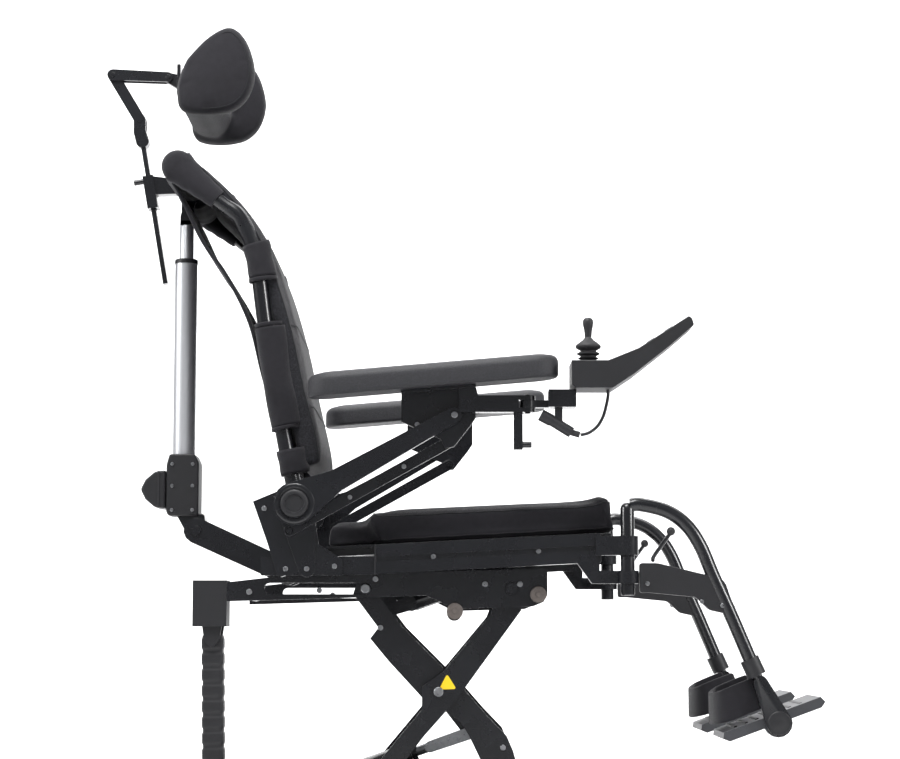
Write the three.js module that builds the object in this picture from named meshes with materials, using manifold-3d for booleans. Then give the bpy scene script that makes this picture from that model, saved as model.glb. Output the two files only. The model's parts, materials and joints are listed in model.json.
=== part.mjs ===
// Power wheelchair with a scissor seat lift, power tilt, power recline, swing-away legrests,
// parallelogram armrests, a joystick on a swing-away arm and a four-joint headrest.
//
// Millimetres, +X forward, +Y to the user's left, +Z up.  The floor is at Z = 0.
// Side outlines are written as [x, z] points and extruded across the chair, along Y.
// side is +1 on the user's left and -1 on the right, and a distance "out" is measured from the
// chair's middle plane.

import * as THREE from 'three';
import { mergeVertices } from 'three/addons/utils/BufferGeometryUtils.js';
import Module from 'manifold-3d';

const wasm = await Module();
wasm.setup();

// ---------------------------------------------------------------------------------------------
// Driving sizes
// ---------------------------------------------------------------------------------------------
const gap = 0.3;              // between pieces that touch
const run = 0.8;              // round a pin that turns in a hole

const driveRadius = 165;      // drive wheel
const driveWidth = 70;
const driveOut = 240;         // inner face of the drive wheel
const driveShaft = 12;        // radius of the motor's output shaft
const casterRadius = 95;
const casterWidth = 38;
const casterTrail = 42;

const liftOut = 200;          // inner face of the plates that the lift runs in
const liftPlate = 6;
const lowTrack = 311;         // height of the lower pivots and rollers
const highTrack = 633;        // height of the upper pivots and rollers
const liftReach = 230;        // from the fixed pivot to the roller, seat raised
const rollerTravel = 150;     // how far each roller runs as the seat comes down

const seatWidth = 430;
const seatDepth = 370;        // thick part of the cushion
const cushionThick = 50;
const seatSlope = 0.051;      // rise of the seat per unit of depth
const railHeight = 45;
const railWidth = 26;
const railLength = 348;

const backHeight = 547;       // from the recline hinge to the top tube
const backTube = 12.5;        // radius

const padLength = 391;
const padWidth = 75;
const padThick = 40;
const armReach = 248;         // along X, from the armrest hub to its front pivot
const armRise = 138;
const linkDrop = 41;          // from the armrest's upper pivots to its lower ones

const legTube = 11;           // radius
const footLength = 165;
const footWidth = 140;
const footThick = 15;

const actuatorTube = 18.7;    // radius of the recline actuator
const actuatorRod = 11.9;

// ---------------------------------------------------------------------------------------------
// Places worked out from the sizes
// ---------------------------------------------------------------------------------------------
const mid = (a, b) => [(a[0] + b[0]) / 2, (a[1] + b[1]) / 2];
const shift = (p, dx, dz) => [p[0] + dx, p[1] + dz];
const between = (a, b, t) => [a[0] + (b[0] - a[0]) * t, a[1] + (b[1] - a[1]) * t];

const driveAxle = [-215, driveRadius];
const casterStem = [255, 222];                       // bottom of the swivel barrel
const casterOut = liftOut + 15;
const casterAxle = [casterStem[0] - casterTrail, casterRadius];

const liftBase = [-128, lowTrack];                   // fixed lower pivot of the outer arms
const liftTop = [liftBase[0] + liftReach, highTrack];
const liftCross = mid(liftBase, liftTop);
const lowRoller = [liftTop[0], lowTrack];
const highRoller = [liftBase[0], highTrack];
const liftCrank = between(liftCross, lowRoller, 0.445);
const liftMotorPivot = [-190, 322];

const tiltHinge = [-261, 662];
const tiltBodyPivot = [-90, 603];
const tiltRodPivot = [60, 655];

const railOut = seatWidth / 2 - 3;                   // inner face of the seat rails
const railFace = railOut + railWidth;
const plateOut = railFace - 5;                       // inner face of the back brackets
const plateFace = plateOut + 6;
const lowLinkOut = plateFace + 2;
const lowLinkFace = lowLinkOut + 7;
const padPlateOut = lowLinkFace + 1;
const padPlateFace = padPlateOut + 7;
const armOut = padPlateFace + 1;
const armFace = armOut + 13;
const padOut = seatWidth / 2 + 50;                   // middle of the armrest pad
const legOut = seatWidth / 2 + 20;
const backOut = seatWidth / 2 - 25;                  // middle of the back tubes

const seatRear = -119;
const seatLine = (x) => 702 + (x - seatRear) * seatSlope;   // underside of the cushion
const railRear = -110;
const railFront = railRear + railLength;

const hub = [-236, 763];                             // recline hinge and armrest hub
const reclineHub = [-412, 731];
const backStretch = backHeight / 547;
const onBack = (dx, dz) => [hub[0] + dx, hub[1] + dz * backStretch];
const backTop = onBack(-197, 547);
const actuatorX = backTop[0] - 6;
const rodTop = [actuatorX, backTop[1] - 44];

const armFront = shift(hub, armReach, armRise);
const lowLinkRear = shift(hub, -9, -linkDrop);
const lowLinkFront = shift(armFront, -9, -linkDrop);
const padRear = armFront[0] - 229;                   // rear end of the armrest pad
const padSlope = 0.084;
const padUnder = (x) => 926 + (x - padRear) * padSlope + (armFront[1] - 901);

const post = railFront + 44;                         // legrest swivel post
const postTop = 766;
const kneeEnd = [post + 198, 500];                   // lower end of the hanger tube
const legDrop = [0.415, -0.91];                      // direction of the lower leg
const footHub = shift(kneeEnd, 34, -75);

const barFoot = shift(backTop, -40, -163);
const barTop = shift(backTop, -82, 80);
const headLow = shift(backTop, -87, 117);
const headElbow = shift(backTop, -134, 195);
const headPivot = shift(backTop, -40, 191);

// ---------------------------------------------------------------------------------------------
// Finishes
// ---------------------------------------------------------------------------------------------
function finish(color, roughness, metalness) {
  return new THREE.MeshStandardMaterial({ color, roughness, metalness });
}

const blackSteel = finish(0x24252b, 0.45, 0.6);
const blackPlastic = finish(0x2b2b30, 0.55, 0);
const darkFabric = finish(0x2c2b30, 0.9, 0);
const padSkin = finish(0x35353a, 0.75, 0);
const anodised = finish(0xa9abb0, 0.3, 0.9);
const brightSteel = finish(0xc4c5c8, 0.25, 1);
const tyreRubber = finish(0x1b1b1d, 0.85, 0);
const greyPlastic = finish(0x6d6e72, 0.5, 0);

// ---------------------------------------------------------------------------------------------
// Solids
// ---------------------------------------------------------------------------------------------
function solid(geometry) {
  const bare = geometry.clone();
  bare.deleteAttribute('normal');
  bare.deleteAttribute('uv');
  const merged = mergeVertices(bare, 1e-4);
  return new wasm.Manifold(new wasm.Mesh({
    numProp: 3,
    vertProperties: new Float32Array(merged.attributes.position.array),
    triVerts: new Uint32Array(merged.index.array),
  }));
}

const join = (...bodies) => bodies.reduce((whole, body) => whole.add(body));
const cut = (body, ...tools) => tools.reduce((rest, tool) => rest.subtract(tool), body);

function outline(points) {
  const shape = new THREE.Shape();
  shape.setFromPoints(points.map(([x, z]) => new THREE.Vector2(x, z)));
  return shape;
}

function disc(centre, radius) {
  const shape = new THREE.Shape();
  shape.absarc(centre[0], centre[1], radius, 0, 2 * Math.PI);
  return shape;
}

// A straight link with a round end of its own radius at each pivot.
function link(a, radiusA, b, radiusB) {
  const along = Math.atan2(b[1] - a[1], b[0] - a[0]);
  const length = Math.hypot(b[0] - a[0], b[1] - a[1]);
  const lean = Math.acos((radiusA - radiusB) / length);
  const shape = new THREE.Shape();
  shape.absarc(a[0], a[1], radiusA, along + lean, along - lean + 2 * Math.PI);
  shape.absarc(b[0], b[1], radiusB, along - lean, along + lean);
  return shape;
}

// Extrudes a side outline across the chair, from one distance out to another on one side.
function slab(shape, from, to, side = 1, curveSegments = 3) {
  const depth = to - from;
  const geometry = new THREE.ExtrudeGeometry(shape, { depth, bevelEnabled: false, curveSegments });
  geometry.rotateX(Math.PI / 2);
  geometry.translate(0, side > 0 ? to : -from, 0);
  return solid(geometry);
}

const across = (shape, half, curveSegments = 3) => slab(shape, -half, half, 1, curveSegments);

// A round bar or a hole along Y.
function pin(centre, radius, from, to, side = 1, sides = 10) {
  const geometry = new THREE.CylinderGeometry(radius, radius, to - from, sides);
  geometry.translate(centre[0], side * (from + to) / 2, centre[1]);
  return solid(geometry);
}

// A round bar between two points in space.
function bar(from, to, radius, sides = 10) {
  const a = new THREE.Vector3(...from);
  const b = new THREE.Vector3(...to);
  const geometry = new THREE.CylinderGeometry(radius, radius, a.distanceTo(b), sides);
  const along = b.clone().sub(a).normalize();
  geometry.applyQuaternion(new THREE.Quaternion().setFromUnitVectors(new THREE.Vector3(0, 1, 0), along));
  const centre = a.add(b).multiplyScalar(0.5);
  geometry.translate(centre.x, centre.y, centre.z);
  return solid(geometry);
}

const upright = (x, y, low, high, radius, sides = 12) => bar([x, y, low], [x, y, high], radius, sides);

function block(x0, x1, y0, y1, z0, z1) {
  const geometry = new THREE.BoxGeometry(x1 - x0, Math.abs(y1 - y0), z1 - z0);
  geometry.translate((x0 + x1) / 2, (y0 + y1) / 2, (z0 + z1) / 2);
  return solid(geometry);
}

// A round tube along a smooth curve through points in space.
function pipe(points, radius, steps, sides = 10) {
  const ring = Array.from({ length: sides }, (_, i) => {
    const turn = (2 * Math.PI * i) / sides;
    return new THREE.Vector2(radius * Math.cos(turn), radius * Math.sin(turn));
  });
  const path = new THREE.CatmullRomCurve3(points.map((p) => new THREE.Vector3(...p)), false, 'centripetal');
  const shape = new THREE.Shape(ring);
  return solid(new THREE.ExtrudeGeometry(shape, { steps, extrudePath: path, bevelEnabled: false }));
}

// A turned piece whose axis lies along Y: profile points are [radius, distance out].
function turned(centre, profile, side = 1, segments = 20) {
  const ordered = side > 0 ? profile : profile.map(([r, out]) => [r, -out]).reverse();
  const points = ordered.map(([r, out]) => new THREE.Vector2(r, out));
  const geometry = new THREE.LatheGeometry(points, segments);
  geometry.translate(centre[0], 0, centre[1]);
  return solid(geometry);
}

// ---------------------------------------------------------------------------------------------
// The chair
// ---------------------------------------------------------------------------------------------
const chair = new THREE.Group();
const sides = [[-1, 'right'], [1, 'left']];

function add(name, body, material) {
  const { vertProperties, triVerts } = body.getMesh();
  const geometry = new THREE.BufferGeometry();
  geometry.setAttribute('position', new THREE.BufferAttribute(new Float32Array(vertProperties), 3));
  geometry.setIndex(new THREE.BufferAttribute(new Uint32Array(triVerts), 1));
  geometry.computeVertexNormals();
  const mesh = new THREE.Mesh(geometry, material);
  mesh.name = name;
  chair.add(mesh);
}

// ---- Base -----------------------------------------------------------------------------------
const liftFace = liftOut + liftPlate;
const barrelTop = 292;
const beam = [-302, -274, 112, 142];                 // rear cross beam: x0, x1, z0, z1
const boxFront = 105;
const chainLow = [-290, 250];                        // where the cable chain meets the base
const chainOut = [158, 192];                         // inner and outer face of the chain

// One side of the base: a plate that carries the drive, the lift's track and the caster barrel.
function chassisSide(side) {
  const plate = slab(outline([
    [-310, lowTrack + 29], [-310, 262], [beam[0] - 5, beam[2] - 2],
    [driveAxle[0] + 75, beam[2] - 2], [-90, 262], [276, 262], [276, lowTrack + 29],
  ]), liftOut, liftFace, side);
  const slot = link(lowRoller, 8 + run, shift(lowRoller, rollerTravel, 0), 8 + run);
  const barrel = upright(casterStem[0], side * casterOut, casterStem[1], barrelTop, 20);
  return cut(
    join(plate, barrel),
    slab(slot, liftOut - 5, liftFace + 5, side),
    pin(liftBase, 10 + run, liftOut - 5, liftFace + 5, side),
    pin(driveAxle, 16, liftOut - 5, liftFace + 5, side),
    upright(casterStem[0], side * casterOut, casterStem[1] - 5, barrelTop - 12, 9 + run),
  );
}

function chassis() {
  const anchor = slab(outline([
    [beam[0] + 2, beam[3] - 5], [beam[1] - 2, beam[3] - 5],
    [chainLow[0] + 14, chainLow[1]], [chainLow[0], chainLow[1] + 14], [chainLow[0] - 10, chainLow[1]],
  ]), chainOut[0] - 9, chainOut[0] - 1, -1);
  return join(
    chassisSide(-1),
    chassisSide(1),
    block(beam[0], beam[1], -liftOut - 3, liftOut + 3, beam[2], beam[3]),
    pin([262, 276], 11, -liftOut - 3, liftOut + 3),
    pin(liftMotorPivot, 10, -liftOut - 3, liftOut + 3),
    block(-120, boxFront + 5, -liftOut - 3, -liftOut + 10, 262, 272),
    block(-120, boxFront + 5, liftOut - 10, liftOut + 3, 262, 272),
    anchor,
  );
}

// A lidded box for two batteries, hung on the ledges of the chassis.
function batteryBox() {
  const half = liftOut - 10 - gap;
  const box = block(-112, boxFront, -half, half, 85, 288);
  return join(box, block(-118, boxFront + 3, -half + 5, half - 5, 274, 291));
}

// The motor controller, in a flat box between the motors and the lift.
function powerModule() {
  return join(
    block(-245, -125, -120, 120, 222, 270),
    block(-238, -132, -112, 112, 262, 283),
    block(-200, -170, -liftOut + gap, liftOut - gap, 226, 232),
  );
}

function driveMotor(side) {
  const bore = driveShaft + run;
  const body = turned(driveAxle, [
    [0, 88], [38, 88], [44, 94], [44, 150], [38, 153], [38, 160], [50, 164], [50, liftOut - gap],
    [bore, liftOut - gap], [bore, 176], [0, 176],
  ], side);
  return join(body, block(driveAxle[0] - 20, driveAxle[0] + 20, side * 110, side * 140, driveAxle[1] + 35,
    driveAxle[1] + 56.5));
}

// A cast wheel on the motor's output shaft.
function driveRim(side) {
  const seat = driveRadius - 42;
  const out = driveOut;
  return turned(driveAxle, [
    [0, 176.5], [driveShaft, 176.5], [driveShaft, out - 28], [26, out - 28], [26, out + 14], [seat - 14, out + 22],
    [seat - 14, out + 6], [seat - 4, out + 6], [seat - 8, out + 14], [seat - 8, out + driveWidth - 14],
    [seat - 4, out + driveWidth - 6], [seat - 14, out + driveWidth - 6], [seat - 14, out + 34],
    [30, out + 30], [30, out + 44], [0, out + 44],
  ], side);
}

function driveTyre(side) {
  const seat = driveRadius - 42;
  const out = driveOut;
  return turned(driveAxle, [
    [seat - 4 + gap, out + 6], [seat + 12, out], [driveRadius - 12, out], [driveRadius, out + 14],
    [driveRadius, out + driveWidth - 14], [driveRadius - 12, out + driveWidth],
    [seat + 12, out + driveWidth], [seat - 4 + gap, out + driveWidth - 6],
    [seat - 8 + gap, out + driveWidth - 14], [seat - 8 + gap, out + 14], [seat - 4 + gap, out + 6],
  ], side);
}

function casterFork(side) {
  const inner = casterWidth / 2 + 5;
  const crownLow = 2 * casterRadius + 8;
  const leg = link(shift(casterStem, 0, -15), 20, casterAxle, 14);
  const legs = [casterOut - inner - 6, casterOut + inner].map((from) => slab(leg, from, from + 6, side));
  const crown = block(casterStem[0] - 24, casterStem[0] + 22, side * (casterOut - inner - 5),
    side * (casterOut + inner + 5), crownLow, casterStem[1] - gap);
  const clear = block(casterStem[0] - 60, casterStem[0] + 60, side * casterOut - 60, side * casterOut + 60,
    casterStem[1] - gap, casterStem[1] + 40);
  const stem = upright(casterStem[0], side * casterOut, casterStem[1] - 10, barrelTop - 13, 9);
  const axle = pin(casterAxle, 6, casterOut - inner - 9, casterOut + inner + 9, side);
  return join(cut(join(...legs, crown), clear), stem, axle);
}

function casterWheel(side) {
  const half = casterWidth / 2;
  const at = (r, out) => [r, casterOut + out];
  return turned(casterAxle, [
    at(6 + run, -half - 3), at(18, -half - 3), at(22, -8), at(casterRadius - 34, -8),
    at(casterRadius - 28, -half + 2), at(casterRadius - 10, -half), at(casterRadius, -half + 10),
    at(casterRadius, half - 10), at(casterRadius - 10, half), at(casterRadius - 28, half - 2),
    at(casterRadius - 34, 8), at(22, 8), at(18, half + 3), at(6 + run, half + 3), at(6 + run, -half - 3),
  ], side);
}

add('chassis_frame', chassis(), blackSteel);
add('battery_box', batteryBox(), blackPlastic);
add('power_module', powerModule(), greyPlastic);
for (const [side, hand] of sides) {
  add(`drive_motor_${hand}`, driveMotor(side), blackSteel);
  add(`drive_rim_${hand}`, driveRim(side), anodised);
  add(`drive_tyre_${hand}`, driveTyre(side), tyreRubber);
  add(`caster_fork_${hand}`, casterFork(side), blackSteel);
  add(`caster_wheel_${hand}`, casterWheel(side), tyreRubber);
}

// ---- Lift -----------------------------------------------------------------------------------
const outerArm = [186, 196];                         // the layers of the scissor, from inside out
const innerArm = [172, 182];

// The outer pair of arms, pinned to the base behind and joined by a tube at the top in front.
function scissorOuter() {
  const half = (side) => join(
    slab(outline([
      shift(liftBase, -18, 6), shift(liftBase, -10, -14), shift(liftBase, 8, -16),
      shift(liftCross, -23, -69), shift(liftCross, 12, -30), shift(liftCross, 40, 4),
      shift(liftTop, 15, -34), shift(liftTop, 19, -8), shift(liftTop, 12, 14), shift(liftTop, -12, 14),
      shift(liftTop, -34, -42), shift(liftCross, 8, 32), shift(liftCross, -26, 8), shift(liftCross, -26, -28),
    ]), outerArm[0], outerArm[1], side),
    pin(liftBase, 10, outerArm[0] + 2, liftFace + 1, side),
    pin(liftCross, 8, innerArm[0] - 4, outerArm[1] + 2, side),
  );
  return join(half(-1), half(1), pin(liftTop, 10, -liftFace - 1, liftFace + 1));
}

// The inner pair, joined by a tube at the crossing that also carries the crank of the lift motor.
function scissorInner() {
  const half = (side) => cut(
    join(
      slab(outline([
        shift(highRoller, -14, 12), shift(highRoller, -20, -8), shift(liftCross, -95, 100),
        shift(liftCross, -108, 83), shift(liftCross, -79, 48), shift(liftCross, -27, -8),
        shift(liftCross, 12, -31), shift(liftCross, 35, -48), shift(liftCross, 48, -69),
        shift(lowRoller, -20, -6), shift(lowRoller, -8, -17), shift(lowRoller, 12, -16),
        shift(lowRoller, 20, 6), shift(liftCross, 117, -92), shift(liftCross, 107, -69),
        shift(liftCross, 74, -35), shift(liftCross, 40, 4), shift(liftCross, 9, 35),
        shift(liftCross, -58, 102), shift(highRoller, 11, 2), shift(highRoller, 4, 14),
      ]), innerArm[0], innerArm[1], side),
      pin(highRoller, 8, innerArm[0] + 2, liftFace + 1, side),
      pin(lowRoller, 8, innerArm[0] + 2, liftFace + 1, side),
    ),
    pin(liftCross, 8 + run, innerArm[0] - 12, innerArm[1] + 3, side),
  );
  const tube = cut(
    pin(liftCross, 15, -innerArm[0] - 1, innerArm[0] + 1),
    pin(liftCross, 8 + run, innerArm[0] - 12, innerArm[1] + 3),
    pin(liftCross, 8 + run, innerArm[0] - 12, innerArm[1] + 3, -1),
  );
  const crank = cut(
    across(link(liftCross, 14, liftCrank, 10), 6),
    pin(liftCrank, 5, -8, 8),
  );
  return join(half(-1), half(1), tube, crank);
}

const liftLine = Math.atan2(liftCrank[1] - liftMotorPivot[1], liftCrank[0] - liftMotorPivot[0]);
const alongLift = (d) => shift(liftMotorPivot, d * Math.cos(liftLine), d * Math.sin(liftLine));
const beside = (p, y) => [p[0], y, p[1]];
const atMiddle = (p) => beside(p, 0);

// A linear actuator body: an eye round a cross pin, a tube, and a gear motor beside it.
function liftActuatorBody() {
  const tube = bar(atMiddle(alongLift(12)), atMiddle(alongLift(148)), 18, 20);
  const eye = across(disc(liftMotorPivot, 19), 16, 8);
  const motor = bar(beside(alongLift(42), -38), beside(alongLift(140), -38), 18, 20);
  const foot = across(link(alongLift(30), 17, alongLift(52), 17), 20);
  const gearbox = slab(link(alongLift(32), 16, alongLift(50), 16), 18, 50, -1);
  return cut(
    join(tube, eye, foot, gearbox, motor),
    pin(liftMotorPivot, 10 + run, -30, 30),
    bar(atMiddle(alongLift(60)), atMiddle(alongLift(170)), 8 + run),
  );
}

// A rod with a fork: its cheeks stand beside the crank, and each holds half of the cross pin.
function forkedRod(from, to, radius, cheekFrom, cheekTo, eye, reach) {
  const direction = [to[0] - from[0], to[1] - from[1]];
  const length = Math.hypot(...direction);
  const back = (d) => shift(to, (-direction[0] * d) / length, (-direction[1] * d) / length);
  const rod = bar(atMiddle(from), atMiddle(back(reach)), radius, 16);
  const bridge = across(link(back(reach + 4), radius + 1, back(reach), radius + 1), cheekTo, 4);
  const cheeks = [-1, 1].map((side) => slab(link(back(reach), radius + 1, to, eye), cheekFrom, cheekTo, side));
  const heads = [-1, 1].map((side) => pin(to, eye * 0.6, cheekTo - 1, cheekTo + 3, side, 12));
  return join(rod, bridge, ...cheeks, ...heads);
}

function liftTopFrame() {
  const plate = (side) => {
    const body = join(
      slab(outline([
        [-345, 613], [-34, 622], [-20, 617], [2, 606], [24, 602], [135, 605], [152, 612], [158, 623],
        [158, 664], [tiltHinge[0] + 12, 654], [-345, 643],
      ]), liftOut, liftFace, side),
      slab(disc(tiltHinge, 21), liftOut, liftFace, side, 6),
      slab(disc([12.5, 597.6], 13), liftOut, liftFace + 1, side, 7),
      slab(disc([143.7, 623.7], 13), liftOut, liftFace + 1, side, 7),
    );
    const slot = link(shift(highRoller, -rollerTravel, 0), 8 + run, highRoller, 8 + run);
    return cut(
      body,
      slab(slot, liftOut - 5, liftFace + 5, side),
      pin(liftTop, 10 + run, liftOut - 5, liftFace + 5, side),
      pin(tiltHinge, 11 + run, liftOut - 5, liftFace + 5, side),
    );
  };
  const crossTube = shift(tiltBodyPivot, -10, 36);
  const lug = across(link(crossTube, 10, tiltBodyPivot, 10), 6, 6);
  return cut(
    join(
      plate(-1),
      plate(1),
      pin([-330, 628], 10, -liftOut - 3, liftOut + 3),
      pin(crossTube, 9, -liftOut - 3, liftOut + 3),
      pin([143.7, 623.7], 9, -liftOut - 3, liftOut + 3),
      lug,
    ),
    pin(tiltBodyPivot, 5 + run, -12, 12),
  );
}

const tiltLine = Math.atan2(tiltRodPivot[1] - tiltBodyPivot[1], tiltRodPivot[0] - tiltBodyPivot[0]);
const alongTilt = (d) => shift(tiltBodyPivot, d * Math.cos(tiltLine), d * Math.sin(tiltLine));

function tiltActuatorBody() {
  const cheeks = [-1, 1].map((side) => slab(link(tiltBodyPivot, 10, alongTilt(30), 12), 6.5, 14, side));
  const tube = bar(atMiddle(alongTilt(27)), atMiddle(alongTilt(100)), 14, 16);
  const motor = bar(beside(alongTilt(36), 32), beside(alongTilt(98), 32), 15, 16);
  const gearbox = slab(link(alongTilt(40), 12, alongTilt(50), 12), 0, 44);
  return cut(
    join(...cheeks, tube, motor, gearbox, pin(tiltBodyPivot, 5, -14, 14)),
    bar(atMiddle(alongTilt(46)), atMiddle(alongTilt(110)), 6 + run),
  );
}

add('scissor_arm_outer', scissorOuter(), blackSteel);
add('scissor_arm_inner', scissorInner(), blackSteel);
add('lift_actuator_body', liftActuatorBody(), blackSteel);
add('lift_actuator_rod', forkedRod(alongLift(64), liftCrank, 8, 6.5, 13, 10, 66), brightSteel);
add('lift_top_frame', liftTopFrame(), blackSteel);
add('tilt_actuator_body', tiltActuatorBody(), blackSteel);
add('tilt_actuator_rod', forkedRod(alongTilt(48), tiltRodPivot, 6, 6.5, 12, 9, 26), brightSteel);

// ---- Cable box and chain --------------------------------------------------------------------
const chainTop = [-369, 552];
const chainKnee = [-365, 350];
const boxRear = -345 - gap;

function cableBox() {
  const body = cut(
    block(-399, boxRear, -liftFace, -chainOut[0] + 7, 574, 646),
    block(-394, boxRear - 5, -chainOut[1] - 1, -chainOut[0] + 1, 570, 636),
  );
  const ears = [chainOut[0] - 6, chainOut[1] + gap].map((from) => slab(outline([
    [chainTop[0] - 16, 578], [chainTop[0] - 12, chainTop[1]], [chainTop[0], chainTop[1] - 12],
    [chainTop[0] + 12, chainTop[1]], [chainTop[0] + 16, 578],
  ]), from, from + 5.7, -1));
  return join(body, ...ears, pin(chainTop, 4, chainOut[0] - 2, chainOut[1] + 2, -1, 10));
}

function chainUpper() {
  return cut(
    slab(link(chainTop, 19, chainKnee, 19), chainOut[0], chainOut[1], -1),
    block(chainTop[0] - 13, chainTop[0] + 18, -chainOut[1] - 5, -chainOut[0] + 5, 437, 473),
    slab(disc(chainKnee, 23), chainOut[0] + 4, chainOut[1] - 4, -1),
    block(chainKnee[0] - 10, chainKnee[0] + 30, -chainOut[1] + 4, -chainOut[0] - 4, chainKnee[1], chainKnee[1] + 80),
    pin(chainKnee, 5 + run, chainOut[0] - 5, chainOut[1] + 5, -1),
    pin(chainTop, 4 + run, chainOut[0] - 5, chainOut[1] + 5, -1),
  );
}

function chainLower() {
  return join(
    slab(link(chainKnee, 18, chainLow, 14), chainOut[0] + 4 + gap, chainOut[1] - 4 - gap, -1),
    pin(chainKnee, 5, chainOut[0], chainOut[1], -1),
    pin(chainLow, 7, chainOut[0] - 1 + gap, chainOut[0] + 8, -1),
  );
}

add('cable_box', cableBox(), blackPlastic);
add('cable_chain_upper', chainUpper(), blackPlastic);
add('cable_chain_lower', chainLower(), blackPlastic);

// ---- Seat -----------------------------------------------------------------------------------
const clampTop = [684, 714];                         // heights of the two lugs that hold the post
const clampLow = [640, 660];

function seatRail(side) {
  const top = (x) => seatLine(x) - 2;
  const rail = slab(outline([
    [railRear, top(railRear) - railHeight], [railFront, top(railFront) - railHeight],
    [railFront, top(railFront)], [railRear, top(railRear)],
  ]), railOut, railFace, side);
  const groove = slab(outline([
    [railRear - 5, top(railRear) - railHeight / 2 - 4], [railFront + 5, top(railFront) - railHeight / 2 - 4],
    [railFront + 5, top(railFront) - railHeight / 2 + 4], [railRear - 5, top(railRear) - railHeight / 2 + 4],
  ]), railFace - 3, railFace + 3, side);
  const rearBar = slab(outline([
    [-290, 653], [railRear + 4, 655], [railRear + 4, 683], [-290, 681],
  ]), railOut, plateOut - gap, side);
  const bracket = slab(outline([
    [railFront - 6, clampTop[0]], [post, clampTop[0]], [post, clampTop[1]], [railFront - 6, clampTop[1]],
  ]), legOut - 9, legOut + 9, side);
  const lowBracket = slab(outline([
    [railFront - 40, top(railFront) - railHeight + 6], [railFront - 12, clampLow[0]], [post, clampLow[0]],
    [post, clampLow[1]], [railFront, clampLow[1]], [railFront, top(railFront) - railHeight + 8],
  ]), legOut - 9, legOut + 3, side);
  const lugs = [clampTop, clampLow].map(([low, high]) => upright(post, side * legOut, low, high, 17));
  return join(cut(rail, groove), rearBar, bracket, lowBracket, ...lugs);
}

function seatFrame() {
  const pan = across(outline([
    [-190, seatLine(-190) - gap], [-190, seatLine(-190) - 4], [railFront + 2, seatLine(railFront + 2) - 4],
    [railFront + 2, seatLine(railFront + 2) - gap],
  ]), railOut + 4);
  const tiltLug = across(outline([
    [tiltRodPivot[0] - 34, seatLine(0) - 2], shift(tiltRodPivot, -10, -4), shift(tiltRodPivot, 0, -11),
    shift(tiltRodPivot, 10, -4), [tiltRodPivot[0] + 34, seatLine(90) - 2],
  ]), 6);
  const holes = [-1, 1].map((side) => upright(post, side * legOut, 600, 740, legTube + run));
  return cut(
    join(
      seatRail(-1),
      seatRail(1),
      pan,
      pin(tiltHinge, 11, -railOut - 4, railOut + 4),
      pin([railFront - 38, seatLine(railFront) - 24], 11, -railOut - 4, railOut + 4),
      tiltLug,
    ),
    ...holes,
  );
}

function seatCushion() {
  const front = seatRear + seatDepth;
  const half = seatWidth / 2 - 7;
  const thick = outline([
    [seatRear, seatLine(seatRear)], [front, seatLine(front)], [front + 18, seatLine(front) + 9],
    [front + 14, seatLine(front) + cushionThick - 6], [front - 3, seatLine(front) + cushionThick + 7],
    [seatRear - 5, seatLine(seatRear) + cushionThick],
  ]);
  const rear = outline([
    [-195, seatLine(-195)], [seatRear + 5, seatLine(seatRear)], [seatRear + 5, seatLine(seatRear) + 46],
    [-195, seatLine(-195) + 46],
  ]);
  return join(across(thick, half), across(rear, half - 25));
}

// A steel plate on the rear of the seat rail: it carries the recline hinge and the armrest.
function backBracket(side) {
  const plate = slab(outline([
    [-303, 768], [-279, 701], [-264, 653], [-163, 653], [-163, 678], [-200, 702], [-206, 742], [-222, 786],
    [-250, 790],
  ]), plateOut, plateFace, side);
  const web = slab(link(hub, 30, [-218, 663], 13), plateOut, plateFace + 1.5, side);
  return join(
    plate,
    web,
    pin(hub, 15, backOut + backTube + 1, plateOut + 1, side),
    pin(hub, 8, backOut - backTube - 2, armFace - 2, side),
    pin(lowLinkRear, 5, plateOut + 1, lowLinkFace + 2, side),
  );
}

function reclineSupportArm() {
  const arms = [-1, 1].map((side) => slab(link(tiltHinge, 20, reclineHub, 21), 38, 47, side));
  const spacer = pin(between(tiltHinge, reclineHub, 0.45), 8, -42, 42);
  const holes = pin(tiltHinge, 11 + gap, -60, 60);
  return cut(join(...arms, spacer, pin(reclineHub, 8, -51, 51)), holes);
}

add('seat_frame', seatFrame(), blackSteel);
add('seat_cushion', seatCushion(), darkFabric);
for (const [side, hand] of sides) add(`back_bracket_${hand}`, backBracket(side), blackSteel);
add('recline_support_arm', reclineSupportArm(), blackSteel);

// ---- Recline actuator -----------------------------------------------------------------------
const housingLow = reclineHub[1] + 25;
const housingTop = housingLow + 103;
const tubeTop = rodTop[1] - 78;
const rodTravel = 56;                                // how far the rod slides in as the back reclines
const rodInside = 80;                                // length of the rod in the tube, back upright

function reclineTube() {
  const housing = across(outline([
    [actuatorX - 22, housingLow], [actuatorX + 28, housingLow], [actuatorX + 28, housingTop - 14],
    [actuatorX + 21, housingTop], [actuatorX - 21, housingTop], [actuatorX - 26, housingTop - 18],
    [actuatorX - 26, housingLow + 8],
  ]), 28);
  const lug = cut(
    across(outline([
      shift(reclineHub, -16, -9), shift(reclineHub, 0, -17), shift(reclineHub, 16, -9),
      [reclineHub[0] + 10, housingLow + 3], [actuatorX - 10, housingLow + 3],
    ]), 22),
    pin(reclineHub, 8 + run, -30, 30),
  );
  const tube = upright(actuatorX, 0, housingTop - 5, tubeTop, actuatorTube, 28);
  const boreFoot = tubeTop - rodInside - rodTravel - 5;
  const bore = upright(actuatorX, 0, boreFoot, tubeTop + 10, actuatorRod + run, 24);
  return cut(join(housing, lug, tube), bore);
}

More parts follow.
